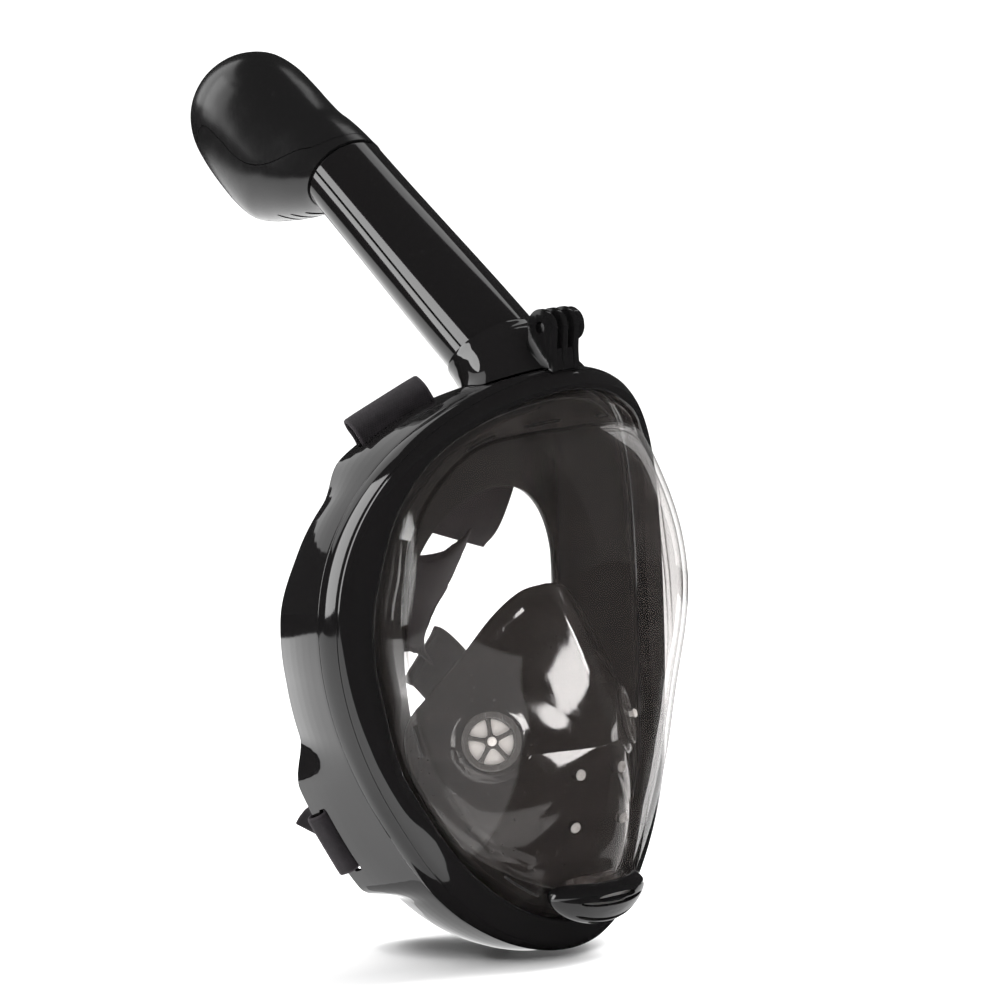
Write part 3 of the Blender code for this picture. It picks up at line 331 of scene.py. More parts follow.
def node(tree, kind, **sockets):
    n = tree.nodes.new(kind)
    for key, value in sockets.items():
        n.inputs[key.replace("_", " ")].default_value = value
    return n


def polished(name, rgb, rough=0.07, ripple=0.02, scuff=0.05, speck=0.0, coat=0.0, ior=1.5, ripple_scale=60.0):
    """Moulded plastic: faint long flow ripples in the gloss, fine scuffs that dull it here and there,
    and rare pale dust specks in its colour."""
    m = bpy.data.materials.new(name)
    m.use_nodes = True
    t = m.node_tree
    b = t.nodes["Principled BSDF"]
    b.inputs["IOR"].default_value = ior
    b.inputs["Coat Weight"].default_value = coat
    b.inputs["Coat Roughness"].default_value = 0.03
    co = t.nodes.new("ShaderNodeTexCoord")
    flow = node(t, "ShaderNodeTexNoise", Scale=ripple_scale, Detail=2.0, Roughness=0.4)
    t.links.new(co.outputs["Object"], flow.inputs["Vector"])
    stretch = t.nodes.new("ShaderNodeMapping")
    stretch.inputs["Scale"].default_value = (900, 900, 140)
    stretch.inputs["Rotation"].default_value = (0.5, 0.3, 0.2)
    t.links.new(co.outputs["Object"], stretch.inputs["Vector"])
    fine = node(t, "ShaderNodeTexNoise", Scale=1.0, Detail=4.0, Roughness=0.6)
    t.links.new(stretch.outputs["Vector"], fine.inputs["Vector"])
    worn = t.nodes.new("ShaderNodeMapRange")
    worn.inputs["From Min"].default_value, worn.inputs["From Max"].default_value = 0.45, 0.75
    worn.inputs["To Min"].default_value, worn.inputs["To Max"].default_value = rough, rough + scuff
    t.links.new(fine.outputs["Fac"], worn.inputs["Value"])
    t.links.new(worn.outputs["Result"], b.inputs["Roughness"])
    bmp = node(t, "ShaderNodeBump", Strength=ripple, Distance=0.001)
    t.links.new(flow.outputs["Fac"], bmp.inputs["Height"])
    t.links.new(bmp.outputs["Normal"], b.inputs["Normal"])
    tone = t.nodes.new("ShaderNodeMix")
    tone.data_type = 'RGBA'
    tone.inputs[6].default_value = (*rgb, 1)
    tone.inputs[7].default_value = (*[min(1, v * 1.5 + 0.004 + speck) for v in rgb], 1)
    dust = node(t, "ShaderNodeTexNoise", Scale=420.0, Detail=3.0, Roughness=0.7)
    t.links.new(co.outputs["Object"], dust.inputs["Vector"])
    ramp = t.nodes.new("ShaderNodeMapRange")
    ramp.inputs["From Min"].default_value, ramp.inputs["From Max"].default_value = 0.62, 0.8
    t.links.new(dust.outputs["Fac"], ramp.inputs["Value"])
    t.links.new(ramp.outputs["Result"], tone.inputs[0])
    t.links.new(tone.outputs[2], b.inputs["Base Color"])
    return m


def place(ob, mat, body, nodes=()):
    """Gives the piece its material, its body and the CAD nodes it stands for."""
    ob.data.materials.clear()
    ob.data.materials.append(mat)
    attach(ob, body)
    if nodes:
        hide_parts(*nodes)
    return ob


def frame_section(t):
    """Closed section of the frame: flange, side wall out to the flared edge, and back along the inside."""
    depth, flare, m = frame_depth(t), frame_flare(t), lip(t)
    down = [0.1, 0.25, 0.4, 0.55, 0.7, 0.85, 0.95]
    wall = [(5.6 + (flare - 5.6) * v + 1.2 * sin(pi * v), 12.4 + (depth - 12.4) * v) for v in down]
    outline = [(2.4, 6.2), (2.4, 12.4), (5.6, 12.4)] + wall
    outline += [(flare + 0.05, depth), (flare - 2.3, depth)]
    outline += [(a - 2.6, b) for a, b in reversed(wall)]
    outline += [(-0.2, 9.5), (-2.2 - 1.6 * m, 6.4 - 0.3 * m), (-2.4 - 1.6 * m, 3.7 - 0.3 * m)]
    return stack(outline, t)


def lug_frame(at, hand):
    """A slot's place: point on the wall's middle, tangent along the frame, normal outward, rearward."""

    def on(angle, down):
        """Point in the middle of the wall, down its depth by a fraction."""
        q = np.array([angle])
        depth, flare = frame_depth(q)[0], frame_flare(q)[0]
        a = 5.6 + (flare - 5.6) * down + 1.2 * sin(pi * down) - 1.3
        return Vector(rim(q, a, 12.4 + (depth - 12.4) * down)[0])

    t = radians(at) * hand
    d = frame_depth(np.array([t]))[0]
    v = 1 - (4.2 + 2.3) / (d - 12.4)
    p = on(t, v)
    tan = (on(t + 0.05, v) - on(t - 0.05, v)).normalized() * hand
    back = on(t, 1.0) - on(t, v - 0.1)
    back = (back - back.dot(tan) * tan).normalized()
    out = tan.cross(back)
    if out.dot(p - Vector((0, p.y, 0))) < 0:
        out = -out
    return p, tan, out, back


radii = [0.5, 0.4, 0.5] + [0.9] * 7 + [0.9, 0.8] + [0.9] * 7 + [0.8, 0.6, 0.6]
S = eased(frame_section(T), radii, 4)
rear_frame = skin("rear_frame_shell", rim(T[None, :], S[..., 0], S[..., 1]), wrap_rows=True)
slots = []
for at, long in ((27.0, 39.0), (121.0, 31.0)):
    for hand in (1, -1):
        p, tan, out, back = lug_frame(at, hand)
        slots.append(rounded_bar("slot_tool", p, tan, out, back, (long * MM, 0.016, 0.0046), 7.0))
carve(rear_frame, slots)
frame_black = polished("frame_black_gloss", (0.0085, 0.008, 0.0082), rough=0.045, ripple=0.015, scuff=0.03)
place(rear_frame, frame_black, "mask", ["rear_frame"])

# ---------------------------------------------------------------- bezel
# The gloss ring that clamps the window on the frame, with a fine parting groove round its face. Black
# polycarbonate, snapped on from the front.
def bezel_section(t):
    """Closed section of the bezel; its front lip laps further over the window where lip(t) is larger."""
    m = lip(t)
    return stack([(2.9, 12.0), (6.0, 12.0), (6.3, 8.0), (5.8, 4.4), (4.95, 2.0), (4.62, 2.05), (4.45, 1.2),
                  (3.2, -0.7), (1.8, -1.9), (-0.2 - 3.2 * m, -2.6 - 1.9 * m), (-1.6 - 6.6 * m, -2.4 - 3.6 * m),
                  (-2.4 - 7.2 * m, -1.6 - 3.6 * m), (-2.2 - 7.2 * m, -0.4 - 3.3 * m),
                  (0.4 - 1.4 * m, 1.2 - 0.3 * m), (2.7, 2.3)], t)


S = eased(bezel_section(T), [0.4, 0.5, 2.0, 1.5, 0.25, 0.15, 0.3, 1.2, 1.4, 2.2, 0.9, 0.5, 0.3, 0.5, 0.3], 5)
bezel = skin("bezel_ring", rim(T[None, :], S[..., 0], S[..., 1]), wrap_rows=True)
bezel_black = polished("bezel_black_gloss", (0.007, 0.0066, 0.0068), rough=0.05, ripple=0.012, scuff=0.03)
place(bezel, bezel_black, "mask", ["front_bezel"])

# ---------------------------------------------------------------- window
# One clear moulding: a flange under the bezel, a short wall, a crisp crease and a bulging front,
# 2.4 mm polycarbonate, polished both sides. The chin valve is let into its lower end.
crease_deg = [0, 15, 25, 33, 45, 58, 66, 75, 90, 107, 125, 145, 165, 180]
ang = degrees_off(T)


def soft_table(values, width=7):
    """The table's values at every angle, rounded by a short moving average."""
    v = np.interp(ang, crease_deg, values)
    k = np.hanning(2 * width + 3)[1:-1]
    k /= k.sum()
    return np.convolve(np.r_[v[-width:], v, v[:width]], k, "valid")


cr_w = soft_table([-16.5, -13.6, -9.2, -7.0, -8.2, -11.2, -12.9, -13.0, -13.2, -13.5, -13.0, -12.5, -12.5, -12.5])
cr_y = soft_table([4.8, 1.6, -1.0, -6.5, -9, -14, -17, -19, -20, -16, -12.5, -11, -12, -13])
cr_q = soft_table([3, 3, 3, 3.3, 3.8, 4.4, 4.4, 4.0, 3.0, 2.5, 2.2, 2.2, 2.3, 2.5], 24)
m = lip(T)
wall_rows = [rim(T, 1.4, 3.8), rim(T, 0.4 - 1.4 * m, 3.0 - 0.3 * m), rim(T, -2.4 - 7.0 * m, 1.5 - 3.3 * m),
             rim(T, -4.3 - 7.2 * m, -0.6 - 3.3 * m), rim(T, -4.6 - 7.2 * m, -4.0 - 3.6 * m)]
crease = rim(T, cr_w, cr_y)
wall_rows.append(0.35 * wall_rows[-1] + 0.65 * crease)
top = np.array([0.0, 0.0, 0.020])
rows = []
for a, b, n in zip(wall_rows[:-1], wall_rows[1:], (2, 4, 3, 5, 5)):
    k = np.linspace(0, 1, n, endpoint=False)[:, None, None]
    rows.append(a + k * (b - a))
W = wall_rows[-1]


def front(s):
    """The window's front: rings shrunk by s about its middle, bulged forward by 1 - s^q."""
    ring = top + s * (crease - top)
    ring[:, 1] = crease[:, 1] + (-0.093 - crease[:, 1]) * (1 - s ** cr_q)
    return ring


k = np.linspace(0, 1, 6)[:, None, None]
near_crease = W + 0.90 * (crease - W)
past_crease = front(0.982)
rows.append(W + np.linspace(0, 0.9, 4, endpoint=False)[:, None, None] * (crease - W))
crease_row = sum(len(q) for q in rows) + 2.5
rows.append((1 - k) ** 2 * near_crease + 2 * k * (1 - k) * crease + k ** 2 * past_crease)
rows.append(np.stack([front(s) for s in np.r_[0.975, 0.96, np.linspace(0.94, 0.06, 30)]]))


def chin_pt(a, b, h):
    """Point of the curved chin seat: a along its width round a 34 mm cylinder, b up it, h out of it."""
    n, up = np.array([0.0, -0.80, -0.60]), np.array([0.0, -0.60, 0.80])
    a, b, h = np.broadcast_arrays(np.asarray(a, float), np.asarray(b, float), np.asarray(h, float))
    x = (CHIN_RHO + h) * np.sin(a / CHIN_RHO)
    k = (CHIN_RHO + h) * np.cos(a / CHIN_RHO) - CHIN_RHO
    return CHIN_AT + x[..., None] * np.array([1.0, 0, 0]) + k[..., None] * n + b[..., None] * up


CHIN_AT, CHIN_RHO = np.array([0.0, -0.0715, -0.0985]), 0.034
CH = np.linspace(0, 2 * pi, 96, endpoint=False)


def chin_ring(a, b, h):
    """Oval ring round the chin seat: a cos t by b sin t, in mm, h mm out."""
    c, s = np.cos(CH), np.sin(CH)
    return chin_pt(a * MM * c, b * MM * s, h * MM + 0 * c)


# the valve's seat is pressed back into the window's wall, and its port goes through
P = np.concatenate(rows)
d = P - CHIN_AT
out_k = -0.80 * d[..., 1] - 0.60 * d[..., 2] + CHIN_RHO
b = -0.60 * d[..., 1] + 0.80 * d[..., 2]
a = CHIN_RHO * np.arctan2(d[..., 0], out_k)
h = np.hypot(d[..., 0], out_k) - CHIN_RHO
sunk = ((a / 0.0270) ** 2 + (b / 0.0118) ** 2 < 1) & (h > 0.0003) & (out_k > 0)
P[sunk] = chin_pt(a[sunk], b[sunk], np.array(0.0003))
window = skin("window_clear", P, cap_last=True)
n_rows, n_cols = P.shape[:2]
# Painted shade: a dark line along the window's crease, strongest about the brow, kept in its "crease" attribute
# and laid into the see-through colour.
painted_crease_shade = np.zeros(len(window.data.vertices), dtype=np.float32)
shade_by_row = np.exp(-((np.arange(n_rows) - crease_row) / 1.1) ** 2)
painted_crease_shade[:n_rows * n_cols] = np.repeat(shade_by_row, n_cols)
painted_crease_shade *= np.tile(0.35 + 0.65 * bump(T, 0, 75, 16), n_rows + 1)[:len(painted_crease_shade)]
window.data.attributes.new("crease", 'FLOAT', 'POINT').data.foreach_set("value", painted_crease_shade)
in_port = ((a / 0.0189) ** 2 + (b / 0.0056) ** 2 < 1) & (out_k > 0)
bm = bmesh.new()
bm.from_mesh(window.data)
bm.verts.ensure_lookup_table()
bmesh.ops.delete(bm, geom=[bm.verts[int(j)] for j in np.flatnonzero(in_port.ravel())], context='VERTS')
bm.to_mesh(window.data)
bm.free()
wall = window.modifiers.new("wall", 'SOLIDIFY')
wall.thickness, wall.offset, wall.use_even_offset = 0.0022, 0.0, True


def clear_plastic(name, tint, haze, edge):
    """Clear moulding: light passes straight through with a faint tint, darker where the wall is seen edge on and
    along the crease, where a painted shade line runs; the gloss follows Fresnel up to edge; a trace of haze
    with faint wipe marks lies over it."""
    mt = bpy.data.materials.new(name)
    mt.use_nodes = True
    t = mt.node_tree
    t.nodes.remove(t.nodes["Principled BSDF"])
    out = t.nodes["Material Output"]
    see = t.nodes.new("ShaderNodeBsdfTransparent")
    # Painted shade: the "crease" attribute turns the see-through colour towards the dark grey below in a line
    # along the crease; the edge-on fade uses the same grey.
    painted_crease_line = t.nodes.new("ShaderNodeAttribute")
    painted_crease_line.attribute_name = "crease"
    shade = t.nodes.new("ShaderNodeMix")
    shade.data_type = 'RGBA'
    shade.inputs[6].default_value = (*tint, 1)
    shade.inputs[7].default_value = (0.16, 0.15, 0.145, 1)
    rimward = node(t, "ShaderNodeLayerWeight", Blend=0.5)
    fade = t.nodes.new("ShaderNodeMapRange")
    fade.inputs["From Min"].default_value, fade.inputs["From Max"].default_value = 0.78, 0.94
    fade.inputs["To Max"].default_value = 0.85
    t.links.new(rimward.outputs["Facing"], fade.inputs["Value"])
    darker = t.nodes.new("ShaderNodeMath")
    darker.operation = 'MAXIMUM'
    t.links.new(painted_crease_line.outputs["Fac"], darker.inputs[0])
    t.links.new(fade.outputs["Result"], darker.inputs[1])
    t.links.new(darker.outputs[0], shade.inputs[0])
    t.links.new(shade.outputs[2], see.inputs["Color"])
    gloss = node(t, "ShaderNodeBsdfGlossy", Roughness=0.02)
    gloss.inputs["Color"].default_value = (1, 1, 1, 1)
    fres = node(t, "ShaderNodeFresnel", IOR=1.46)
    mix = t.nodes.new("ShaderNodeMixShader")
    soft = t.nodes.new("ShaderNodeMapRange")
    soft.inputs["To Max"].default_value = edge
    t.links.new(fres.outputs["Fac"], soft.inputs["Value"])
    t.links.new(soft.outputs["Result"], mix.inputs["Fac"])
    t.links.new(see.outputs["BSDF"], mix.inputs[1])
    t.links.new(gloss.outputs["BSDF"], mix.inputs[2])
    co = t.nodes.new("ShaderNodeTexCoord")
    mp = t.nodes.new("ShaderNodeMapping")
    mp.inputs["Scale"].default_value = (30, 30, 180)
    mp.inputs["Rotation"].default_value = (0.2, 0.9, 0.4)
    t.links.new(co.outputs["Object"], mp.inputs["Vector"])
    wipe = node(t, "ShaderNodeTexNoise", Scale=1.0, Detail=5.0, Roughness=0.6)
    t.links.new(mp.outputs["Vector"], wipe.inputs["Vector"])
    amount = t.nodes.new("ShaderNodeMapRange")
    amount.inputs["From Min"].default_value, amount.inputs["From Max"].default_value = 0.35, 0.8
    amount.inputs["To Min"].default_value, amount.inputs["To Max"].default_value = haze * 0.8, haze * 1.5
    t.links.new(wipe.outputs["Fac"], amount.inputs["Value"])
    film = node(t, "ShaderNodeBsdfDiffuse")
    film.inputs["Color"].default_value = (0.84, 0.72, 0.67, 1)
    top_mix = t.nodes.new("ShaderNodeMixShader")
    t.links.new(amount.outputs["Result"], top_mix.inputs["Fac"])
    t.links.new(mix.outputs["Shader"], top_mix.inputs[1])
    t.links.new(film.outputs["BSDF"], top_mix.inputs[2])
    t.links.new(top_mix.outputs["Shader"], out.inputs["Surface"])
    return mt


window_mat = clear_plastic("window_polycarbonate", (0.994, 0.986, 0.982), 0.0075, 0.30)
place(window, window_mat, "mask", ["lens"])
panel("window_backdrop", 137, 4, 3.0, 2.4, 1.0, distance=1.5, only=[window])


def tube_along(name, path, radius, sides=10, closed=True):
    """Round bead carried along a path: a circle of the radius in the plane across each tangent."""
    P = np.asarray(path, float)
    tan = (np.roll(P, -1, 0) - np.roll(P, 1, 0)) if closed else np.gradient(P, axis=0)
    tan /= np.linalg.norm(tan, axis=1)[:, None]
    up = np.array([0.0, 1.0, 0.0]) + 0 * P
    n = np.cross(tan, up)
    n /= np.linalg.norm(n, axis=1)[:, None] + 1e-12
    b = np.cross(n, tan)
    th = np.linspace(0, 2 * pi, sides, endpoint=False)
    r = np.broadcast_to(np.asarray(radius, float), (len(P),))[:, None, None]
    G = P[:, None] + r * (np.cos(th)[None, :, None] * n[:, None] + np.sin(th)[None, :, None] * b[:, None])
    return skin(name, G, wrap_rows=closed, cap_first=not closed, cap_last=not closed)


# Small clip outlines moulded in the window's sloping wall, where it snaps on the frame: five rounded
# rectangles, each from one part of the way between the wall's inner edge and the crease to another.
def round_table(curve_points, angles):
    """The closed curve's points at the given angles, by linear interpolation round it."""
    return np.array([[np.interp(v % (2 * pi), T, curve_points[:, i], period=2 * pi) for i in range(3)]
                     for v in angles])


CLIPS = [(-26, 4.0, 0.10, 0.34), (-8, 5.5, 0.08, 0.30), (14, 2.6, 0.08, 0.28), (-104, 3.6, 0.06, 0.30),
         (-152, 6.0, 0.08, 0.36)]
for j, (deg, half_deg, low, high) in enumerate(CLIPS):
    q = np.linspace(0, 2 * pi, 64, endpoint=False)
    a = radians(deg) + radians(half_deg) * np.sign(np.cos(q)) * np.abs(np.cos(q)) ** 0.35
    reach = (low + high) / 2 + (high - low) / 2 * np.sign(np.sin(q)) * np.abs(np.sin(q)) ** 0.35
    inner_edge, outer_edge = round_table(W, a), round_table(crease, a)
    path = inner_edge + reach[:, None] * (outer_edge - inner_edge)
    clip = tube_along("window_clip_%d" % (j + 1), path, 0.00035, 8)
    place(clip, bezel_black, "mask")

# ---------------------------------------------------------------- face seal
# Soft black silicone: clamped in the frame, it lines the side wall, rolls over behind the frame and
# runs in to the egg-shaped face opening with a thin feathered edge.
def opening_edge(t):
    """The face opening's edge: an egg about 52 by 79 mm, the sides drawn in by 7.5 sin^4 t and back."""
    x = (0.052 - 0.0075 * np.sin(t) ** 4) * np.sin(t) * (1 + 0.06 * np.cos(t))
    z = -0.006 + 0.079 * np.cos(t)
    y = -0.028 + 0.017 * np.abs(np.sin(t)) ** 1.8
    return np.stack([x, y, z], -1)


def spline_rows(rows, per):
    """Catmull-Rom curve through whole rows of points, per samples between each two."""
    P = np.asarray(rows, float)
    P = np.concatenate([2 * P[:1] - P[1:2], P, 2 * P[-1:] - P[-2:-1]])
    out = []
    for i in range(len(P) - 3):
        a, b, c, d = P[i:i + 4]
        u = np.linspace(0, 1, per, endpoint=False).reshape((-1,) + (1,) * a.ndim)
        out.append(0.5 * (2 * b + (c - a) * u + (2 * a - 5 * b + 4 * c - d) * u ** 2
                          + (3 * b - a - 3 * c + d) * u ** 3))
    return np.concatenate(out + [P[-2:-1]])


depth = 36.0 + 7.0 * np.abs(breadth(T)) ** 1.8
fl = seal_flare(T)
edge = opening_edge(T)
rows = [rim(T, -5.6 - 1.0 * m, 9.2), rim(T, -2.6, 12.0), rim(T, -1.2, 18.0),
        rim(T, fl * 0.5 - 2.2, 0.75 * depth), rim(T, fl - 5.6, depth + 1.0), rim(T, fl - 8.2, depth + 5.0)]
roll = rim(T, fl - 12.5, depth + 6.6)
rows.append(roll)
for share, lift in ((0.2, 0.001), (0.55, 0.0015), (0.9, 0.0)):
    row = roll + share * (edge - roll)
    row[:, 1] += lift
    rows.append(row)
rows.append(edge)
P = spline_rows(rows, 7)
seal = skin("face_seal_soft", P)
sol = seal.modifiers.new("wall", 'SOLIDIFY')
sol.thickness, sol.offset, sol.use_even_offset = 0.0019, 0.0, True


def silicone(name, rgb, rough, grain=0.08, sheen=0.0, scale=1600.0):
    """Moulded silicone: fine satin grain, broad soft patches of shine and a little dust in its colour."""
    mt = polished(name, rgb, rough=rough, ripple=grain, scuff=0.12, speck=0.01, ior=1.43, ripple_scale=scale)
    mt.node_tree.nodes["Principled BSDF"].inputs["Sheen Weight"].default_value = sheen
    return mt


seal_mat = silicone("seal_silicone", (0.010, 0.0095, 0.0095), 0.34, grain=0.06)
place(seal, seal_mat, "mask", ["face_skirt"])

# ---------------------------------------------------------------- breathing pocket
# Smoky silicone pocket over the nose and mouth: a polished dome with a nose ridge, a flat cheek on
# each side for its inhale grid and a rolled bead round its edge. Moulded in one, four snap studs.
CUP_EDGE = np.array([(0, -53, 31), (12, -50.5, 29), (24, -45.5, 20), (38, -40, 5), (52, -34, -9), (61, -28, -22),
                     (62, -30, -40), (57, -36, -58), (47, -45, -74), (32, -55, -86), (16, -63, -93),
                     (0, -66, -95.5)]) * MM
CUP_MID = np.array([0.0, 0.0, -0.036])
half = spline_rows(CUP_EDGE, 22)
cup_edge = np.vstack([half, half[1:-1][::-1] * np.array([-1, 1, 1])])
cup_ang = np.degrees(np.abs(np.arctan2(cup_edge[:, 0], cup_edge[:, 2] - CUP_MID[2])))
cup_q = np.interp(cup_ang, [0, 40, 90, 135, 180], [2.0, 1.7, 1.45, 1.9, 3.2])


def cup_ring(s):
    """Ring of the dome: the edge shrunk by s about the pocket's middle, bulged forward by 1 - s^q."""
    ring = CUP_MID + s * (cup_edge - CUP_MID)
    ring[:, 1] = cup_edge[:, 1] + (-0.077 - cup_edge[:, 1]) * (1 - s ** cup_q)
    return ring


def grid_seat(hand):
    """Seat of an inhale grid: middle and axes, the third pointing out of the pocket."""
    z = Vector((0.62 * hand, -0.77, 0.16)).normalized()
    hint = Vector((0, 0.1, 1.0))
    x = (hint - hint.dot(z) * z).normalized()
    return Vector((0.0395 * hand, -0.0548, -0.029)), x, z.cross(x), z


def cup_relief(P, s):
    """Adds the moulded relief to a ring: a nose ridge down the middle, a step round each grid seat and
    a soft channel inside the edge bead."""
    x, z = P[:, 0] / MM, P[:, 2] / MM
    ridge = 1.3 * np.exp(-(x / 5.0) ** 2) * smooth((z + 30) / 30) * smooth((1 - s) / 0.25)
    channel = -0.9 * np.exp(-((s - 0.90) / 0.035) ** 2) * (cup_ang > 12) * (cup_ang < 150)
    P = P.copy()
    P[:, 1] -= (ridge + channel) * MM
    for hand in (1, -1):
        c, gx, gy, gz = grid_seat(hand)
        d = P - np.array(c)
        u, v, h = d @ np.array(gx), d @ np.array(gy), d @ np.array(gz)
        r = np.hypot(u, v) / MM
        w = smooth((17.0 - r) / 3.5) * (np.abs(h) < 0.012)
        P += (w * (-0.0006 - h) * 0.85)[:, None] * np.array(gz)
    return P


levels = np.r_[1.0, 0.985, 0.965, np.linspace(0.945, 0.84, 9), np.linspace(0.82, 0.03, 44)]
P = np.stack([cup_relief(cup_ring(s), s) for s in levels])
pocket = skin("breathing_pocket", P, cap_last=True)
sol = pocket.modifiers.new("wall", 'SOLIDIFY')
sol.thickness, sol.offset, sol.use_even_offset = 0.0017, 0.0, True
tools = []
for hand in (1, -1):
    c, gx, gy, gz = grid_seat(hand)
    th = np.linspace(0, 2 * pi, 72, endpoint=False)
    ring = np.array(c) + 0.0121 * (np.cos(th)[:, None] * np.array(gx) + np.sin(th)[:, None] * np.array(gy))
    tools.append(skin("bore_tool", np.stack([ring + h * np.array(gz) for h in (-0.02, 0, 0.02)]),
                      cap_first=True, cap_last=True))
tools.append(skin("port_tool", np.stack([chin_ring(18.9, 5.6, h) for h in (-20, -4, 12)]),
                  cap_first=True, cap_last=True))
carve(pocket, tools)
bead = tube_along("pocket_edge_bead", cup_ring(1.0), 0.00135, 12)
pocket_mat = silicone("pocket_silicone", (0.0065, 0.0058, 0.0055), 0.06, grain=0.012, scale=70.0)
place(pocket, pocket_mat, "mask", ["orinasal_cup"])
place(bead, pocket_mat, "mask")
panel("pocket_front_panel", 30, 25, 3.8, 0.75, 26.0, only=[pocket])

# ---------------------------------------------------------------- inhale valves
# A five-spoked grid snapped in each cheek of the pocket, pale moulded plastic, with a thin silicone
# disc behind it whose stem and bulb come through the hub.
for label, hand in (("left", 1), ("right", -1)):
    c, gx, gy, gz = (np.array(q) for q in grid_seat(hand))

    def seat_pt(r, th, h):
        """Point at radius r, angle th and height h over the grid's seat."""
        r, th, h = np.broadcast_arrays(r, th, h)
        return c + r[..., None] * (np.cos(th)[..., None] * gx + np.sin(th)[..., None] * gy) + h[..., None] * gz

    th = np.linspace(0, 2 * pi, 120, endpoint=False)
    prof = eased(stack([(11.7, -1.4), (9.7, -1.4), (9.7, 1.2), (10.2, 1.55), (11.9, 1.75), (12.6, 1.5),
                        (12.6, 0.95), (11.7, 0.9)], np.zeros(1)), 0.3, 4)[:, 0]
    rings = [seat_pt(r * MM, th, h * MM) for r, h in prof]
    rim_ring = skin("inhale_rim_" + label, np.stack(rings), wrap_rows=True)
    spokes = []
    for j in range(5):
        a0 = 2 * pi * j / 5
        run = np.linspace(2.4, 9.9, 12)
        wide = 0.95 + 0.55 * np.abs((run - 6.0) / 4.0) ** 3
        q = np.linspace(0, 2 * pi, 16, endpoint=False)
        off = wide[:, None] * np.sign(np.cos(q)) * np.abs(np.cos(q)) ** 0.5
        hh = 0.35 + 1.15 * np.sign(np.sin(q)) * np.abs(np.sin(q)) ** 0.5
        r = np.hypot(run[:, None], off)
        spokes.append(skin("spoke", seat_pt(r * MM, a0 + np.arctan2(off, run[:, None]), (hh + 0 * off) * MM),
                           cap_first=True, cap_last=True))
    hub = eased(stack([(1.5, -1.3), (3.0, -1.3), (3.0, 1.5), (2.6, 1.75), (1.5, 1.75)], np.zeros(1)),
                0.25, 4)[:, 0]
    hub_ob = skin("hub", np.stack([seat_pt(r * MM, th[::3], h * MM) for r, h in hub]), wrap_rows=True)
    bpy.ops.object.select_all(action='DESELECT')
    for ob in (rim_ring, hub_ob, *spokes):
        ob.select_set(True)
    bpy.context.view_layer.objects.active = rim_ring
    bpy.ops.object.join()
    grid_mat = polished("grid_grey_" + label, (0.055, 0.052, 0.050), rough=0.22, ripple=0.05, scuff=0.1)
    place(rim_ring, grid_mat, "mask", ["inhale_grid_" + label])
    disc = eased(stack([(0.01, 5.2), (1.3, 5.0), (2.1, 3.8), (1.2, 3.3), (1.1, -1.6), (9.6, -1.85), (9.6, -2.5),
                        (0.01, -2.9)], np.zeros(1)), 0.35, 4, closed=False)[:, 0]
    flap = skin("inhale_disc_" + label, np.stack([seat_pt(r * MM, th[::2], h * MM) for r, h in disc]),
                cap_first=True, cap_last=True)
    flap_mat = silicone("flap_pale_" + label, (0.74, 0.715, 0.69), 0.32, grain=0.05, sheen=0.1)
    place(flap, flap_mat, "inhale_flap_" + label, ["inhale_flap_" + label])

# ---------------------------------------------------------------- snap studs
# Small turned-looking studs that pin the pocket to its inner ring: a domed head with a dimple.
STUDS = [(0.012, -0.0779, -0.046, -0.12), (-0.012, -0.0779, -0.046, -0.12),
         (0.014, -0.0744, -0.068, -0.45), (-0.014, -0.0744, -0.068, -0.45)]
stud_mat = polished("stud_grey", (0.32, 0.31, 0.30), rough=0.16, ripple=0.03, scuff=0.1)
for j, (x, y, z, dz) in enumerate(STUDS):
    n = Vector((x * 8, -1.0, dz)).normalized()
    u = (Vector((1, 0, 0)) - n.x * n).normalized()
    v = n.cross(u)
    th = np.linspace(0, 2 * pi, 40, endpoint=False)
    prof = eased(stack([(0.01, 0.9), (0.6, 0.9), (0.9, 1.35), (1.5, 1.45), (2.2, 0.95), (2.4, 0.3), (2.4, 0.0),
                        (0.01, 0.0)], np.zeros(1)), 0.3, 4, closed=False)[:, 0] * MM
    around = np.cos(th)[:, None] * np.array(u) + np.sin(th)[:, None] * np.array(v)
    R = np.stack([np.array((x, y, z)) + r * around + h * np.array(n) for r, h in prof])
    stud = skin("snap_stud_%d" % (j + 1), R, cap_first=True, cap_last=True)
    place(stud, stud_mat, "mask", ["cup_stud_%d" % (j + 1)])

# ---------------------------------------------------------------- chin valve
# Valve seat through the window into the pocket, its soft oval flap, and the boat-shaped gloss cover
# with curved drain slots. A clear collar shows round the seat.
seat_sec = [(18.6, 5.3, 1.9), (18.6, 5.3, -8.0), (17.0, 3.9, -8.0), (17.0, 3.9, 4.2), (17.8, 4.7, 4.4),
            (18.6, 5.5, 3.4), (21.6, 8.0, 3.4), (21.8, 8.2, 1.9)]
seat = skin("chin_seat_ring", np.stack([chin_ring(a, b, h) for a, b, h in seat_sec]), wrap_rows=True)
seat_mat = clear_plastic("collar_clear", (0.86, 0.84, 0.83), 0.08, 0.8)
place(seat, seat_mat, "mask", ["chin_valve_seat"])
rows = [chin_ring(r * 19.0, r * 5.9, 4.75) for r in (0.02, 0.3, 0.65, 0.94)] + [chin_ring(19.4, 6.2, 5.1)]
rows += [chin_ring(r * 19.0, r * 5.9, 5.45 + 0.2 * (1 - r)) for r in (0.94, 0.65, 0.3, 0.02)]
chin_flap = skin("chin_soft_flap", np.stack(rows), cap_first=True, cap_last=True)
chin_flap_mat = silicone("chin_flap_silicone", (0.30, 0.29, 0.28), 0.35)
place(chin_flap, chin_flap_mat, "chin_flap", ["chin_flap"])
outer = [(24.5, 9.6, 2.2), (25.0, 10.0, 3.2), (24.4, 9.8, 5.8), (22.6, 8.8, 8.2), (18.5, 6.8, 9.7),
         (12.0, 4.2, 10.5), (5.0, 1.8, 10.8), (0.3, 0.1, 10.85)]
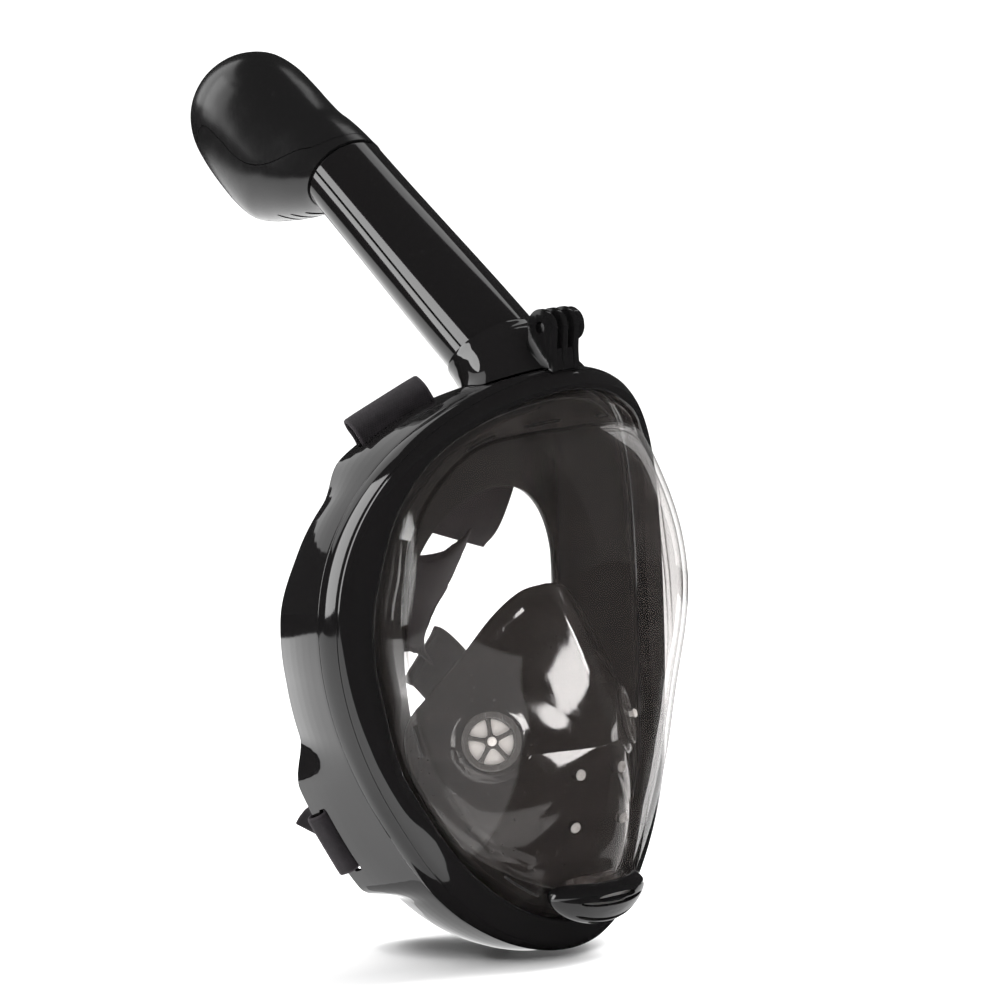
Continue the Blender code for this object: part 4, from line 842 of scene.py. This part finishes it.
inner = [(23.2, 8.6, 2.2), (23.2, 8.6, 5.6), (21.4, 7.8, 7.4), (17.0, 5.8, 8.4), (11.0, 3.6, 9.1), (0.3, 0.1, 9.3)]
R_out = spline_rows(np.stack([chin_ring(*q) for q in outer]), 6)
R_in = spline_rows(np.stack([chin_ring(*q) for q in reversed(inner)]), 4)
cover = skin("chin_cover_boat", np.concatenate([R_in, R_out]), cap_first=True, cap_last=True)
tools = []
for b0, reach, bow in ((-4.4, 14.0, 1.0), (4.4, 14.0, -1.0), (-7.4, 8.5, 1.1), (7.4, 8.5, -1.1)):
    a = np.linspace(-reach, reach, 40)
    bb = b0 + bow * (a / reach) ** 2 * 1.2
    wide = 1.15 * np.sqrt(np.maximum(1 - (np.abs(a) / reach) ** 6, 0.02))
    q = np.linspace(0, 2 * pi, 12, endpoint=False)
    rows = np.stack([chin_pt(a * MM, (bb + np.cos(v) * wide) * MM, (9.0 + 3.2 * np.sin(v)) * MM) for v in q], 1)
    tools.append(skin("drain_tool", rows, cap_first=True, cap_last=True))
carve(cover, tools)
cover_mat = polished("cover_black_gloss", (0.006, 0.0058, 0.006), rough=0.05, ripple=0.02, scuff=0.04)
place(cover, cover_mat, "mask", ["chin_valve_cover"])

# ---------------------------------------------------------------- tube socket
# Short oval neck moulded on the brow, gloss black, that takes the tube's core. A soft shoulder runs
# down on to the frame.
TUBE_BASE = np.array([0.0, -0.0375, 0.1277])
D_AX = np.array([0.0, sin(radians(48)), cos(radians(48))])
N_AX = np.array([0.0, -cos(radians(48)), sin(radians(48))])
TH = np.linspace(0, 2 * pi, 160, endpoint=False)


def tube_pt(x, n, s):
    """Point from tube coordinates: across, towards the tube's upper side, along its axis."""
    x, n, s = np.broadcast_arrays(x, n, s)
    return (TUBE_BASE + x[..., None] * np.array((1.0, 0, 0)) + n[..., None] * N_AX + s[..., None] * D_AX)


c, s = np.cos(TH), np.sin(TH)
foot = np.stack([0.032 * c, -0.052 - 0.0205 * s, 0.1105 + 0 * c], -1)
foot_top = np.stack([0.030 * c, -0.0505 - 0.0210 * s, 0.1165 + 0.0055 * s], -1)
top = [tube_pt(a * c, b * s, v + w * s) for a, b, v, w in
       ((0.0250, 0.0204, -0.0035, -0.002), (0.0244, 0.0198, 0.0010, -0.0028), (0.0242, 0.0196, 0.0041, -0.003))]
mid = 0.5 * foot_top + 0.5 * top[0]
mid[:, 0] *= 0.97
rows = spline_rows([foot, foot_top, mid] + top, 8)
inside = [tube_pt(a * c, b * s, v + w * s) for a, b, v, w in
          ((0.02405, 0.01945, 0.00485, -0.003), (0.0236, 0.0190, 0.0051, -0.003),
           (0.0185, 0.0142, 0.0051, -0.0022), (0.0179, 0.0136, 0.0045, -0.0022), (0.0179, 0.0136, -0.0085, 0.0))]
socket = skin("tube_socket", np.concatenate([rows, np.stack(inside)]), cap_first=True, cap_last=True)


def seat_block(grow):
    """Solid of the frame and bezel grown by grow mm, that whatever stands on them is cut by."""
    d, f = frame_depth(T), frame_flare(T)
    R = [rim(T, 2.0 + grow, -3.0 - grow), rim(T, 4.4 + grow, 0.2 - grow), rim(T, 6.0 + grow, 4.0),
         rim(T, 6.6 + grow, 8.0), rim(T, 6.3 + grow, 12.4)]
    R += [rim(T, 5.6 + (f - 5.6) * v + 1.2 * sin(pi * min(v, 1)) + grow, 12.4 + (d - 12.4) * v)
          for v in (0.15, 0.4, 0.65, 0.9, 1.12)]
    return skin("seat_tool", np.stack(R), cap_first=True, cap_last=True)


carve(socket, [seat_block(0.3)])
place(socket, frame_black, "mask", ["neck"])

# ---------------------------------------------------------------- camera fitting
# Three rounded prongs with a cross hole and a round nut boss, standing on the brow in front of the
# socket. Gloss black nylon, edges eased.
def prong_outline(r):
    """Side outline of a prong: a round head of radius r on the bolt axis, running down to the foot."""
    a = np.linspace(-pi / 2 - 0.25, pi / 2 + 0.25, 40)
    head = np.stack([-0.070 + r * np.sin(a), 0.140 + r * np.cos(a)], -1)
    d = PRONG_R - r
    tail = np.array([(-0.0610 - d * 0.8, 0.1318), (-0.0588 - d * 0.6, 0.1255), (-0.0570 - d * 0.3, 0.1190),
                     (-0.0740 + d * 0.3, 0.1190), (-0.0765 + d, 0.1310)])
    tail = spline_rows(tail, 6)
    return np.vstack([head, tail])


PRONG_R, PRONG, PRONG_GAP = 0.00775, 0.00305, 0.0032
x0 = -0.0080
x1 = x0 + 3 * PRONG + 2 * PRONG_GAP
prongs = []
for j in range(3):
    xa = x0 + j * (PRONG + PRONG_GAP)
    rows = []
    for dx, dr in ((0.0, 0.0006), (0.00015, 0.0002), (0.0005, 0.0), (PRONG - 0.0005, 0.0),
                   (PRONG - 0.00015, 0.0002), (PRONG, 0.0006)):
        o = prong_outline(PRONG_R - dr)
        rows.append(np.stack([xa + dx + 0 * o[:, 0], o[:, 0], o[:, 1]], -1))
    prongs.append(skin("camera_prong_%d" % (j + 1), np.stack(rows), cap_first=True, cap_last=True, flat=True))
webs = []
for j in range(2):
    xa = x0 + PRONG - 0.0003 + j * (PRONG + PRONG_GAP)
    o = prong_outline(PRONG_R - 0.0007)
    o = o[o[:, 1] < 0.1312]
    rows = [np.stack([xa + dx + 0 * o[:, 0], o[:, 0], o[:, 1]], -1) for dx in (0, PRONG_GAP + 0.0006)]
    webs.append(skin("web", np.stack(rows), cap_first=True, cap_last=True, flat=True))


def bolt_tool():
    """Cylinder of 2.6 mm radius through all three prongs, for the cross hole."""
    th = np.linspace(0, 2 * pi, 48, endpoint=False)
    return skin("bolt_tool", np.stack([np.stack([x + 0 * th, -0.070 + 0.0026 * np.cos(th),
                                                 0.140 + 0.0026 * np.sin(th)], -1) for x in (-0.02, 0.0, 0.02)]),
                cap_first=True, cap_last=True)


def neck_tool(grow):
    """Solid of the socket grown by grow metres, that the prongs are cut by."""
    R = [np.stack([(0.032 + grow) * c, -0.052 - (0.0205 + grow) * s, 0.1105 - grow + 0 * c], -1),
         np.stack([(0.030 + grow) * c, -0.0505 - (0.0210 + grow) * s, 0.1165 + 0.0055 * s], -1)]
    R += [tube_pt((a + grow) * c, (b + grow) * s, v + w * s) for a, b, v, w in
          ((0.0250, 0.0204, -0.0035, -0.002), (0.0242, 0.0196, 0.0045, -0.003))]
    return skin("neck_tool", np.stack(R), cap_first=True, cap_last=True)


mount_mat = polished("mount_black_nylon", (0.006, 0.0058, 0.006), rough=0.10, ripple=0.04, scuff=0.1)
for j, ob in enumerate(prongs):
    carve(ob, [bolt_tool(), neck_tool(0.0003), seat_block(0.3)])
    place(ob, mount_mat, "mask", ["camera_mount"] if j == 0 else [])
for j, ob in enumerate(webs):
    ob.name = "camera_web_%d" % (j + 1)
    carve(ob, [neck_tool(0.0003), seat_block(0.3)])
    place(ob, mount_mat, "mask")
th = np.linspace(0, 2 * pi, 72, endpoint=False)
prof = eased(stack([(2.6, 0.0), (7.0, 0.0), (7.3, 0.4), (7.3, 3.0), (6.6, 3.7), (4.6, 3.7), (4.3, 3.3),
                    (3.2, 3.3), (2.6, 3.3)], np.zeros(1)), 0.35, 4)[:, 0] * MM
scallop = 1 - 0.02 * (0.5 + 0.5 * np.cos(6 * th)) ** 4
R = np.stack([np.stack([x1 + 0.0003 + h + 0 * th, -0.070 + r * (scallop if r > 0.0065 else 1) * np.cos(th),
                        0.140 + r * (scallop if r > 0.0065 else 1) * np.sin(th)], -1) for r, h in prof])
nut = skin("camera_nut_boss", R, wrap_rows=True)
place(nut, mount_mat, "mask", ["camera_nut"])

# ---------------------------------------------------------------- snorkel tube
# Two gloss black shells, split along the tube's sides with a fine parting line, round an inner oval
# duct with one partition. It plugs into the socket on a soft ring seal.
def worn_edge(d, r):
    """Inset of an edge rounded to radius r at distance d from it: r - sqrt(r^2 - (r - d)^2)."""
    q = np.clip(1 - d / r, 0, 1)
    return r * (1 - np.sqrt(1 - q * q))


def tube_shell(name, upper):
    """Oval arc with a 2 mm wall: x = a cos, n = b sin, tapering to 90% up the tube, edges rounded."""
    s0, s1 = 0.0052, 0.1172
    s = np.r_[s0 + np.array([0, 0.05, 0.12, 0.22, 0.35, 0.6, 1.2]) * MM, np.linspace(s0 + 0.004, s1 - 0.004, 40),
              s1 - np.array([1.2, 0.6, 0.35, 0.22, 0.12, 0.05, 0]) * MM]
    k = 1 - 0.10 * smooth((s - 0.0045) / 0.12)
    n_arc = 90
    rows = []
    for sv, kv in zip(s, k):
        end = worn_edge(min(sv - s0, s1 - sv), 0.0004)
        loop = []
        for wall in (0.0, 0.0020):
            a, b = 0.0226 * kv - wall, 0.0182 * kv - wall
            gap = 0.00015 if upper else -0.00015
            th0 = np.arcsin((0.004 + gap) / b)
            lo, hi = (th0, pi - th0) if upper else (pi - th0, 2 * pi + th0)
            u = np.linspace(-1, 1, n_arc)
            u = np.sign(u) * (1 - (1 - np.abs(u)) ** 1.5)
            th = (lo + hi) / 2 + u * (hi - lo) / 2
            near = (1 - np.abs(u)) * (hi - lo) / 2 * b
            inset = worn_edge(near, 0.0004) + end
            inward = 1 if wall == 0 else -1
            a, b = a - inward * inset, b - inward * inset
            w = 0.0026 * smooth((sv - 0.095) / 0.022) - 0.003 * (1 - smooth((sv - 0.0045) / 0.03))
            loop.append(tube_pt(a * np.cos(th), b * np.sin(th), sv + w * np.sin(th)))
        rows.append(np.vstack([loop[0], loop[1][::-1]]))
    P = np.stack(rows)
    ob = skin(name, P, out=False)
    bm = bmesh.new()
    bm.from_mesh(ob.data)
    bm.verts.ensure_lookup_table()
    nc = P.shape[1]
    for row in (0, len(rows) - 1):
        o = row * nc
        for j in range(n_arc - 1):
            corners = (o + j, o + j + 1, o + nc - 2 - j, o + nc - 1 - j)
            bm.faces.new([bm.verts[i] for i in corners])
    bmesh.ops.recalc_face_normals(bm, faces=bm.faces)
    bm.to_mesh(ob.data)
    bm.free()
    ob.data.polygons.foreach_set("use_smooth", [True] * len(ob.data.polygons))
    ob.data.set_sharp_from_angle(angle=radians(50))
    return ob


tube_mat = polished("tube_black_gloss", (0.0075, 0.0070, 0.0072), rough=0.055, ripple=0.02, scuff=0.035)
place(tube_shell("tube_upper_shell", True), tube_mat, "snorkel", ["tube_front_shell"])
place(tube_shell("tube_lower_shell", False), tube_mat, "snorkel", ["tube_rear_shell"])

c, s = np.cos(TH), np.sin(TH)
core_rows = [(17.2, 12.9, -7.0), (17.6, 13.3, -6.6), (17.6, 13.3, 126.6), (17.2, 12.9, 127.0),
             (16.2, 11.9, 127.0), (16.0, 11.7, 126.7), (16.0, 11.7, -6.7), (16.2, 11.9, -7.0)]
core = skin("tube_duct", np.stack([tube_pt(a * MM * c, b * MM * s, v * MM + 0 * c) for a, b, v in core_rows]),
            wrap_rows=True)
core_mat = polished("duct_grey_plastic", (0.055, 0.055, 0.058), rough=0.32, ripple=0.05, scuff=0.12)
place(core, core_mat, "snorkel", ["tube_core"])
partition_mid = tube_pt(np.array(0.0), np.array(0.003), np.array(0.060))
partition = rounded_bar("tube_partition", partition_mid, (1, 0, 0), D_AX, N_AX, (0.0314, 0.1336, 0.0014), 6.0, 32)
place(partition, core_mat, "snorkel")
oval = tube_pt(0.0187 * c, 0.0144 * s, 0.0067 - 0.0022 * s)
gasket = tube_along("socket_ring_seal", oval, 0.0007, 12)
place(gasket, silicone("seal_ring_rubber", (0.018, 0.018, 0.018), 0.5, grain=0.1), "snorkel",
      ["socket_gasket"])

# ---------------------------------------------------------------- dry-top cap
# Rounded hood over the tube's top and the float chamber behind it: an upper shell and a vented base
# that meet on a wavy seam, three drain slots under the bulge, the white float inside. A little duller
# than the tube.
CAP_ROWS = np.array([
    (118.4, 20.6, 16.8, -17.2), (122.0, 21.6, 16.8, -24.5), (127.0, 22.8, 16.7, -32.0), (132.5, 23.6, 16.4, -38.5),
    (138.5, 24.2, 15.6, -44.2), (145.0, 24.8, 14.2, -48.6), (154.0, 25.0, 13.6, -50.4), (166.0, 24.9, 13.4, -50.4),
    (178.0, 24.2, 12.4, -49.4), (189.0, 22.0, 8.8, -47.2), (198.0, 17.2, 1.4, -43.0), (204.0, 11.2, -7.4, -36.8),
    (207.4, 4.8, -16.2, -29.6), (208.2, 0.3, -22.4, -23.0)])


def cap_rings(inset, per):
    """Cap rings along the tube's axis: an oval between its upper and lower sides, its lower end tilted,
    the dome drawn in for the inner skin."""
    rows = []
    for sv, a, hi, lo in CAP_ROWS:
        mid, hf = (hi + lo) / 2, (hi - lo) / 2
        a, hf = max(a - inset, 0.25) * MM, max(hf - inset, 0.25) * MM
        tilt = 2.6 * (1 - smooth((sv - 118) / 16))
        sv = sv - 0.9 * inset * smooth((sv - 176) / 22) + 0.9 * inset * (1 - smooth((sv - 118) / 14))
        rows.append(tube_pt(a * c, mid * MM + hf * s, (sv + tilt * s) * MM))
    return spline_rows(np.stack(rows), per)


def cap_solid(name):
    """The whole cap as one walled solid, open at its foot, before the seam parts it."""
    inn, out = cap_rings(2.0, 4)[::-1][:-1], cap_rings(0.0, 9)
    n = 0.0139 * s
    low = [tube_pt(0.0182 * c, n, 0.1206 + 0.0026 * s), tube_pt(0.0182 * c, n, 0.1184 + 0.0026 * s)]
    near = out[0] + 0.02 * (low[1] - out[0])
    return skin(name, np.concatenate([inn, np.stack(low), near[None], out]), cap_first=True, cap_last=True)


SEAM = np.array([(184.5, -70.0), (184.2, -50.0), (184.0, -31.0), (180.5, -23.2), (168.0, -20.8), (157.0, -20.3),
                 (147.0, -16.6), (139.0, -9.0), (131.5, 4.0), (126.5, 11.0), (122.5, 30.0), (122.5, 60.0)])


def seam_block(shift):
    """Block above the seam line, the line moved shift mm into it, carried across the cap's width."""
    seam = spline_rows(SEAM, 6)
    d = np.gradient(seam, axis=0)
    d /= np.linalg.norm(d, axis=1)[:, None]
    seam = seam + shift * np.stack([d[:, 1], -d[:, 0]], -1)
    pts = np.vstack([seam, [(230.0, 60.0), (230.0, -70.0)]]) * MM
    return skin("seam_tool", np.stack([tube_pt(np.array(x), pts[:, 1], pts[:, 0]) for x in (-0.05, 0.05)]),
                cap_first=True, cap_last=True, flat=True)


cap_mat = polished("cap_black_satin", (0.0085, 0.0082, 0.0084), rough=0.20, ripple=0.03, scuff=0.07)
hood = carve(cap_solid("cap_hood"), [seam_block(0.18)], 'INTERSECT')
place(hood, cap_mat, "snorkel", ["cap_shell"])
tools = [seam_block(-0.12)]
for nv, hf in ((-0.0225, 0.010), (-0.0275, 0.012), (-0.0325, 0.013)):
    tools.append(rounded_bar("drain_tool", tube_pt(np.array(0.0), np.array(nv), np.array(0.125)), (1, 0, 0), D_AX,
                             N_AX, (2 * hf, 0.03, 0.0018), 4.0))
base = carve(cap_solid("cap_vented_base"), tools)
place(base, cap_mat, "snorkel", ["cap_base"])


def lathe(name, profile, centre, steps=64):
    """Turned piece about the tube's axis: (radius, depth below) pairs in mm, corners eased."""
    th = np.linspace(0, 2 * pi, steps, endpoint=False)
    prof = eased(stack([(max(r, 0.01), z) for r, z in profile], np.zeros(1)), 0.6, 5, closed=False)[:, 0] * MM
    base_n, base_s = centre
    R = np.stack([tube_pt(r * np.cos(th), base_n + r * np.sin(th), base_s - z) for r, z in prof])
    return skin(name, R, cap_first=True, cap_last=True)


block = lathe("float_barrel", [(0, 0.0), (8.0, 0.0), (9.8, -1.4), (10.2, -4.0), (10.2, -13.0), (9.4, -15.4),
                               (7.0, -16.0), (0, -16.0)], (-0.0315, 0.1420))
place(block, polished("float_white_plastic", (0.62, 0.61, 0.58), rough=0.4, ripple=0.08, scuff=0.15), "float",
      ["float_block"])
disc = lathe("float_top_seal", [(0, -16.3), (9.0, -16.3), (9.4, -17.0), (8.8, -18.0), (0, -18.4)],
             (-0.0315, 0.1420))
place(disc, silicone("float_seal_rubber", (0.02, 0.02, 0.02), 0.45), "float", ["float_seal"])
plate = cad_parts["valve_plate"]
plate.data.materials.clear()
plate_mat = polished("valve_plate_black", (0.035, 0.035, 0.038), rough=0.35, ripple=0.06, scuff=0.1)
plate.data.materials.append(plate_mat)

# ---------------------------------------------------------------- head harness
# Elastic neoprene-faced webbing: four arms run through the frame's slots, round their bars and back
# to the corners of a soft back pad. Brushed knit face, bound edges. Loops are (outward, rearward) in mm.
def fabric(name, rgb, along=900.0, across=260.0, edges=True):
    """Knit webbing on the strap's own map (metres along, 0 to 1 across): crossed ribs raise a bump,
    pilling lightens it in patches, and the bound edges are paler."""
    mt = bpy.data.materials.new(name)
    mt.use_nodes = True
    t = mt.node_tree
    b = t.nodes["Principled BSDF"]
    b.inputs["Roughness"].default_value = 0.88
    b.inputs["Sheen Weight"].default_value = 0.16
    b.inputs["Sheen Roughness"].default_value = 0.45
    b.inputs["Sheen Tint"].default_value = (0.75, 0.68, 0.74, 1)
    b.inputs["Specular IOR Level"].default_value = 0.25
    co = t.nodes.new("ShaderNodeTexCoord")
    sep = t.nodes.new("ShaderNodeSeparateXYZ")
    t.links.new(co.outputs["UV"], sep.inputs["Vector"])

    def wave(source, scale):
        """sin(scale x source)"""
        scaled = t.nodes.new("ShaderNodeMath")
        scaled.operation = 'MULTIPLY'
        scaled.inputs[1].default_value = scale
        sine = t.nodes.new("ShaderNodeMath")
        sine.operation = 'SINE'
        t.links.new(source, scaled.inputs[0])
        t.links.new(scaled.outputs[0], sine.inputs[0])
        return sine.outputs[0]

    ribs, rows_across = wave(sep.outputs["X"], along * 6.283), wave(sep.outputs["Y"], across)
    both = t.nodes.new("ShaderNodeMath")
    both.operation = 'MULTIPLY'
    t.links.new(ribs, both.inputs[0])
    t.links.new(rows_across, both.inputs[1])
    fuzz = node(t, "ShaderNodeTexNoise", Scale=2600.0, Detail=4.0, Roughness=0.7)
    t.links.new(co.outputs["Object"], fuzz.inputs["Vector"])
    height = t.nodes.new("ShaderNodeMath")
    height.operation = 'MULTIPLY_ADD'
    height.inputs[1].default_value = 0.35
    t.links.new(both.outputs[0], height.inputs[0])
    t.links.new(fuzz.outputs["Fac"], height.inputs[2])
    bmp = node(t, "ShaderNodeBump", Strength=0.55, Distance=0.0004)
    t.links.new(height.outputs[0], bmp.inputs["Height"])
    t.links.new(bmp.outputs["Normal"], b.inputs["Normal"])
    pill = node(t, "ShaderNodeTexNoise", Scale=130.0, Detail=6.0, Roughness=0.65)
    t.links.new(co.outputs["Object"], pill.inputs["Vector"])
    ramp = t.nodes.new("ShaderNodeValToRGB")
    ramp.color_ramp.elements[0].position = 0.35
    ramp.color_ramp.elements[0].color = (*[v * 0.75 for v in rgb], 1)
    ramp.color_ramp.elements[1].position = 0.8
    ramp.color_ramp.elements[1].color = (*[v * 1.7 for v in rgb], 1)
    t.links.new(pill.outputs["Fac"], ramp.inputs["Fac"])
    last = ramp.outputs["Color"]
    if edges:
        away = t.nodes.new("ShaderNodeMath")
        away.operation = 'SUBTRACT'
        away.inputs[1].default_value = 0.5
        t.links.new(sep.outputs["Y"], away.inputs[0])
        off = t.nodes.new("ShaderNodeMath")
        off.operation = 'ABSOLUTE'
        t.links.new(away.outputs[0], off.inputs[0])
        rng = t.nodes.new("ShaderNodeMapRange")
        rng.inputs["From Min"].default_value, rng.inputs["From Max"].default_value = 0.462, 0.478
        t.links.new(off.outputs[0], rng.inputs["Value"])
        mix = t.nodes.new("ShaderNodeMix")
        mix.data_type = 'RGBA'
        mix.inputs[7].default_value = (*[v * 2.1 + 0.003 for v in rgb], 1)
        t.links.new(rng.outputs["Result"], mix.inputs[0])
        t.links.new(last, mix.inputs[6])
        last = mix.outputs[2]
    t.links.new(last, b.inputs["Base Color"])
    return mt


def band(name, path, across_dir, width, thick=0.0016, n_sec=32):
    """Flat band along a path: each section a superellipse, thin, with a slightly raised bound edge."""
    P, Wd = np.asarray(path, float), np.asarray(across_dir, float)
    tan = np.gradient(P, axis=0)
    tan /= np.linalg.norm(tan, axis=1)[:, None]
    Wd = Wd - (Wd * tan).sum(1)[:, None] * tan
    Wd /= np.linalg.norm(Wd, axis=1)[:, None]
    Nn = np.cross(tan, Wd)
    q = np.linspace(0, 2 * pi, n_sec, endpoint=False)
    u = np.sign(np.cos(q)) * np.abs(np.cos(q)) ** 0.35
    v = np.sign(np.sin(q)) * np.abs(np.sin(q)) ** 0.6
    v = v * (1 + 0.18 * np.exp(-((np.abs(u) - 0.94) / 0.03) ** 2))
    G = P[:, None] + (u * width / 2)[None, :, None] * Wd[:, None] + (v * thick / 2)[None, :, None] * Nn[:, None]
    run = np.r_[0, np.cumsum(np.linalg.norm(np.diff(P, axis=0), axis=1))]
    uv = np.stack(np.broadcast_arrays(run[:, None], (u / 2 + 0.5)[None, :]), -1)
    return skin(name, G, uv=uv, cap_first=True, cap_last=True)


def curve(points, n):
    """Catmull-Rom curve through the points, resampled at n even steps of its parameter."""
    fine = spline_rows(np.asarray(points, float), 40)
    return fine[np.linspace(0, len(fine) - 1, n).astype(int)]


TIGHT = [(-14.0, 8.5), (-9.5, 3.4), (-6.0, -1.2), (-3.4, -4.0), (0, -4.5), (2.8, -3.5), (3.7, -0.8),
         (3.4, 2.4), (0.8, 4.4), (-3.2, 5.6), (-8.0, 9.0), (-12.5, 14.0)]
LOOSE = [(-9.4, 14.5), (-6.8, 9.5), (-5.2, 5.5), (-4.6, 1.5), (-4.0, -2.2), (-1.6, -4.4), (2.0, -5.0),
         (6.5, -4.5), (9.6, 0.5), (10.2, 7.0), (6.5, 11.0), (1.0, 12.0), (-4.0, 15.5)]
strap_mat = fabric("harness_webbing", (0.0095, 0.0075, 0.0092))
for label, at, loop, wide in (("upper", 27.0, LOOSE, 0.036), ("lower", 121.0, TIGHT, 0.028)):
    for hand_name, hand in (("left", 1), ("right", -1)):
        p, tan, out, back = lug_frame(at, hand)
        bar = p + back * ((4.6 + 4.2) * MM / 2)
        pts = [bar + out * (n * MM) + back * (d * MM) for n, d in loop]
        corner = Vector((0.019 * hand, 0.0190, 0.0475) if label == "upper" else (0.019 * hand, 0.0483, -0.003))
        arrive = Vector((-0.30 * hand, 0.60, -0.80) if label == "upper" else (-0.75 * hand, 0.13, 0.62))
        arrive.normalize()
        leave = (pts[-1] - pts[-2]).normalized()
        pts = pts + [pts[-1] + leave * 0.012, corner - arrive * 0.014, corner]
        way = curve([tuple(q) for q in pts], 190)
        wide_end = np.cross(np.array(arrive), np.array([0.0, 1.0, 0.35]))
        wide_start = np.array(tan)
        wide_end = -wide_end if np.dot(wide_start, wide_end) < 0 else wide_end
        twist = smooth((np.linspace(0, 1, 190) - 0.55) / 0.4)[:, None]
        across = wide_start * (1 - twist) + wide_end * twist
        strap = band("harness_arm_%s_%s" % (label, hand_name), way, across, wide)
        place(strap, strap_mat, "mask", ["strap_%s_%s" % (label, hand_name)])

# The back pad: neoprene foam between two faces of knit, waisted, sewn round its edge.
def harness_y(z):
    """Depth of the slack harness behind the face opening at height z."""
    return np.interp(z, [-0.075, -0.03, 0.0, 0.02, 0.056, 0.10], [0.012, 0.036, 0.042, 0.032, 0.006, -0.010])


v = np.linspace(-1, 1, 40)
half_w = np.interp(0.022 + 0.032 * v, [-0.010, -0.002, 0.005, 0.014, 0.024, 0.042, 0.054],
                   [0.0235, 0.0195, 0.0165, 0.0180, 0.0225, 0.0240, 0.0235])
u = np.linspace(1, -1, 24)[1:-1]
right = np.stack([half_w, 0.022 + 0.032 * v], -1)
top_e = np.stack([0.0235 * u, 0.054 - 0.010 * (1 - u * u)], -1)
left = right[::-1] * [-1, 1]
low_e = np.stack([-0.0235 * u, -0.010 + 0.010 * (1 - u * u)], -1)
pad_outline = np.vstack([right, top_e, left, low_e])
pad_mid = np.array([0.0, 0.022])


def pad_ring(share, face):
    """Pad ring: the outline shrunk to a share of its size, its face (-1 or 1) lifted either way by
    1.7 mm x (1 - share^6)^0.5."""
    q = pad_mid + share * (pad_outline - pad_mid)
    lift = face * 0.0017 * np.sqrt(np.maximum(1 - share ** 6, 0))
    y = harness_y(q[:, 1]) + 0.003 * (q[:, 0] / 0.02) ** 2 + lift
    return np.stack([q[:, 0], y, q[:, 1]], -1)


shares = np.r_[np.linspace(0.04, 0.9, 18), 0.94, 0.97, 0.99, 1.0]
P = np.concatenate([np.stack([pad_ring(share, -1) for share in shares]),
                    np.stack([pad_ring(share, 1) for share in shares[::-1][1:]])])
pad = skin("harness_back_pad", P, cap_first=True, cap_last=True)
remesh = pad.modifiers.new("remesh", 'REMESH')
remesh.mode, remesh.voxel_size = 'VOXEL', 0.0014
finish_modifiers(pad)
rest = np.empty(len(pad.data.vertices) * 3)
pad.data.vertices.foreach_get("co", rest)
puff = pad.modifiers.new("puff", 'CLOTH').settings
puff.use_pressure = True
puff.uniform_pressure_force = 3.0
puff.effector_weights.gravity = 0.0
puff.quality = 6
scene = bpy.context.scene
for fr in range(1, 13):
    scene.frame_set(fr)
finish_modifiers(pad)
scene.frame_set(1)
now = np.empty(len(pad.data.vertices) * 3)
pad.data.vertices.foreach_get("co", now)
rest, now = rest.reshape(-1, 3), now.reshape(-1, 3)
move = now - rest
far = np.linalg.norm(move, axis=1, keepdims=True)
now = rest + move * np.minimum(1.0, 0.0011 / np.maximum(far, 1e-9))
pad.data.vertices.foreach_set("co", now.ravel())
sub = pad.modifiers.new("round", 'SUBSURF')
sub.levels = sub.render_levels = 1
finish_modifiers(pad)
co = np.empty(len(pad.data.vertices) * 3)
pad.data.vertices.foreach_get("co", co)
co = co.reshape(-1, 3)
# a sewn groove runs round both faces, 3.2 mm inside the outline
q = co[:, [0, 2]] - pad_mid
outline_angle = np.arctan2(pad_outline[:, 1] - pad_mid[1], pad_outline[:, 0])
order = np.argsort(outline_angle)
outline_reach = np.linalg.norm(pad_outline - pad_mid, axis=1)[order]
reach = np.interp(np.arctan2(q[:, 1], q[:, 0]), outline_angle[order], outline_reach, period=2 * pi)
inside_by = reach - np.linalg.norm(q, axis=1)
mid_y = harness_y(co[:, 2]) + 0.003 * (co[:, 0] / 0.02) ** 2
groove = np.exp(-((inside_by - 0.0032) / 0.0007) ** 2)
co[:, 1] += (mid_y - co[:, 1]) * 0.45 * groove
pad.data.vertices.foreach_set("co", co.ravel())
pad.data.polygons.foreach_set("use_smooth", [True] * len(pad.data.polygons))
pad_mat = fabric("pad_neoprene_knit", (0.0085, 0.0068, 0.0082), edges=False)
place(pad, pad_mat, "mask", ["harness_pad"])

# ---------------------------------------------------------------- panels for chosen pieces
# The big left panel shines on the gloss pieces, and a glow as from the floor behind on those but the
# tube and bezel; the satin cap and the camera fitting get a weaker panel, the window a lower one.
pieces = [ob for ob in bpy.context.scene.objects if ob.type == 'MESH']
dull = [ob for ob in pieces if ob.name.startswith(("cap_", "camera_"))]
gloss = [ob for ob in pieces if ob not in dull and ob is not window]
tube = [ob for ob in gloss if ob.name.startswith("tube_")]
panel("left_panel", -115, 20, 1.00, 1.25, 7.0, only=gloss)
panel("cap_panel", -146, 28, 0.8, 1.0, 1.5, only=dull)
panel("window_panel", -101, 9, 0.75, 0.65, 13.0, only=[window])
glowing = [ob for ob in gloss if ob not in tube and ob is not bezel]
glow = panel("table_glow_rear", 0, 0, 1.6, 1.64, 1.25, only=glowing)
glow.location = (-0.45, 0.72, FLOOR_Z + 0.001)
glow.rotation_quaternion = (0, 1, 0, 0)
